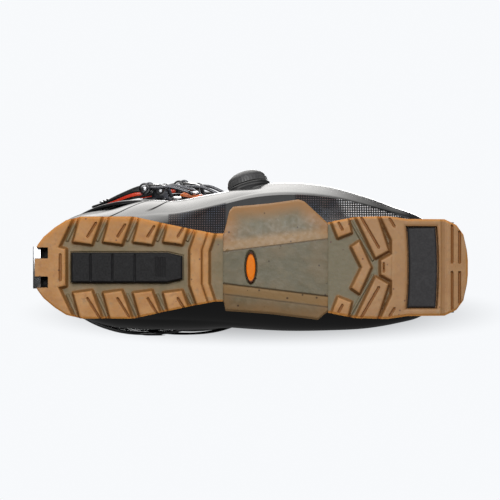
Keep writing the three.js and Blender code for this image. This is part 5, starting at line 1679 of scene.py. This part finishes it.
def make_paints():
    return {
        "steel": metal("polished steel", "B9BABD", 0.2, (1, 1, 6)),
        "dark_metal": metal("dark anodised metal", "3A3B3F", 0.34, (6, 1, 1)),
        "bail": metal("bail wire", "6A6B6F", 0.3),
        "lever": moulded("lever black", "111113", "1B1C1F", 0.3, 0.5, 0.03, 0.6),
        "red": moulded("red orange lining", "E5300F", "F24A1C", 0.36, 0.4, 0.03, 0.6),
        "orange": moulded("ladder orange", "F07A1E", "E86A12", 0.4, 0.3, 0.03, 0.6),
        "dial": moulded("dial satin", "4A4A4B", "575757", 0.45, 0.3),
        "dial_base": moulded("dial base", "0E0E10", "17181A", 0.38, 0.4),
        "lace": braid(),
    }


def build_shell_and_sole():
    shell = stands_for(lower_shell(shell_gloss()), "shell", "shell_gloss", "lower_shell")
    tree = bvh_of(shell)
    gum = gum_rubber()
    stands_for(heel_outsole(tree, gum), "shell", "gum_rubber", "heel_outsole")
    stands_for(toe_outsole(tree, gum), "shell", "gum_rubber", "toe_outsole")
    stands_for(arch_outsole(tree, arch_rubber()), "shell", "arch_rubber", "arch_outsole")
    stands_for(heel_pad(pad_rubber("heel pad rubber", "151416", "1F1F21")), "shell", "pad_rubber", "heel_pad")
    stands_for(toe_pad(pad_rubber("toe pad rubber", "343335", "3D3C3E")), "shell", "pad_rubber", "toe_pad")
    stands_for(sole_badge(badge_plastic()), "shell", "orange_plastic", "sole_badge")
    flap = moulded("flap gloss", "0C0C0E", "151618", 0.22, 1.0, 0.05, 20)
    stands_for(instep_flap(flap), "shell", "shell_gloss", "instep_flap")


def build_cuff_and_closures():
    stands_for(cuff_body(cuff_gloss()), "cuff", "cuff_gloss", "cuff")
    paints = make_paints()
    for name, level, turn in BUCKLES:
        buckle = Buckle(name, level, turn, paints)
        buckle.bracket()
        buckle.lever()
        buckle.pins()
        buckle.bail()
        buckle.ladder()
    dial_pieces(paints)
    lace_and_guides(paints)
    for node, paint, body, bevel, reach in FINISHED_PARTS:
        piece = refined(node, paints[paint], bevel, body, SLOTS[paint])
        if reach:
            trim_sides(piece, reach)


def build_soft_parts():
    board = moulded("boot board foam", "3E4043", "4A4C50", 0.75, 0.0, 0.05, 0.8)
    refined("boot_board", board, 0.8, "shell", "board")
    refined("footbed", felt_material(), 0.8, "shell", "board")
    knit = knit_material()
    stands_for(liner_sock(knit), "shell", "liner_fabric", "liner_foot")
    webbing = webbing_material()
    refined("pull_loop", webbing, 0.3, "cuff", "webbing")
    stands_for(power_strap(webbing), "cuff", "webbing", "power_strap")
    stands_for(liner_leg(knit), "cuff", "liner_fabric", "liner_cuff")
    stands_for(liner_tongue(knit), "cuff", "liner_fabric", "liner_tongue")


bpy.context.scene.view_settings.view_transform = "Standard"
make_camera()
make_floor()
make_contact_shadow()
make_lights()
build_shell_and_sole()
build_cuff_and_closures()
build_soft_parts()
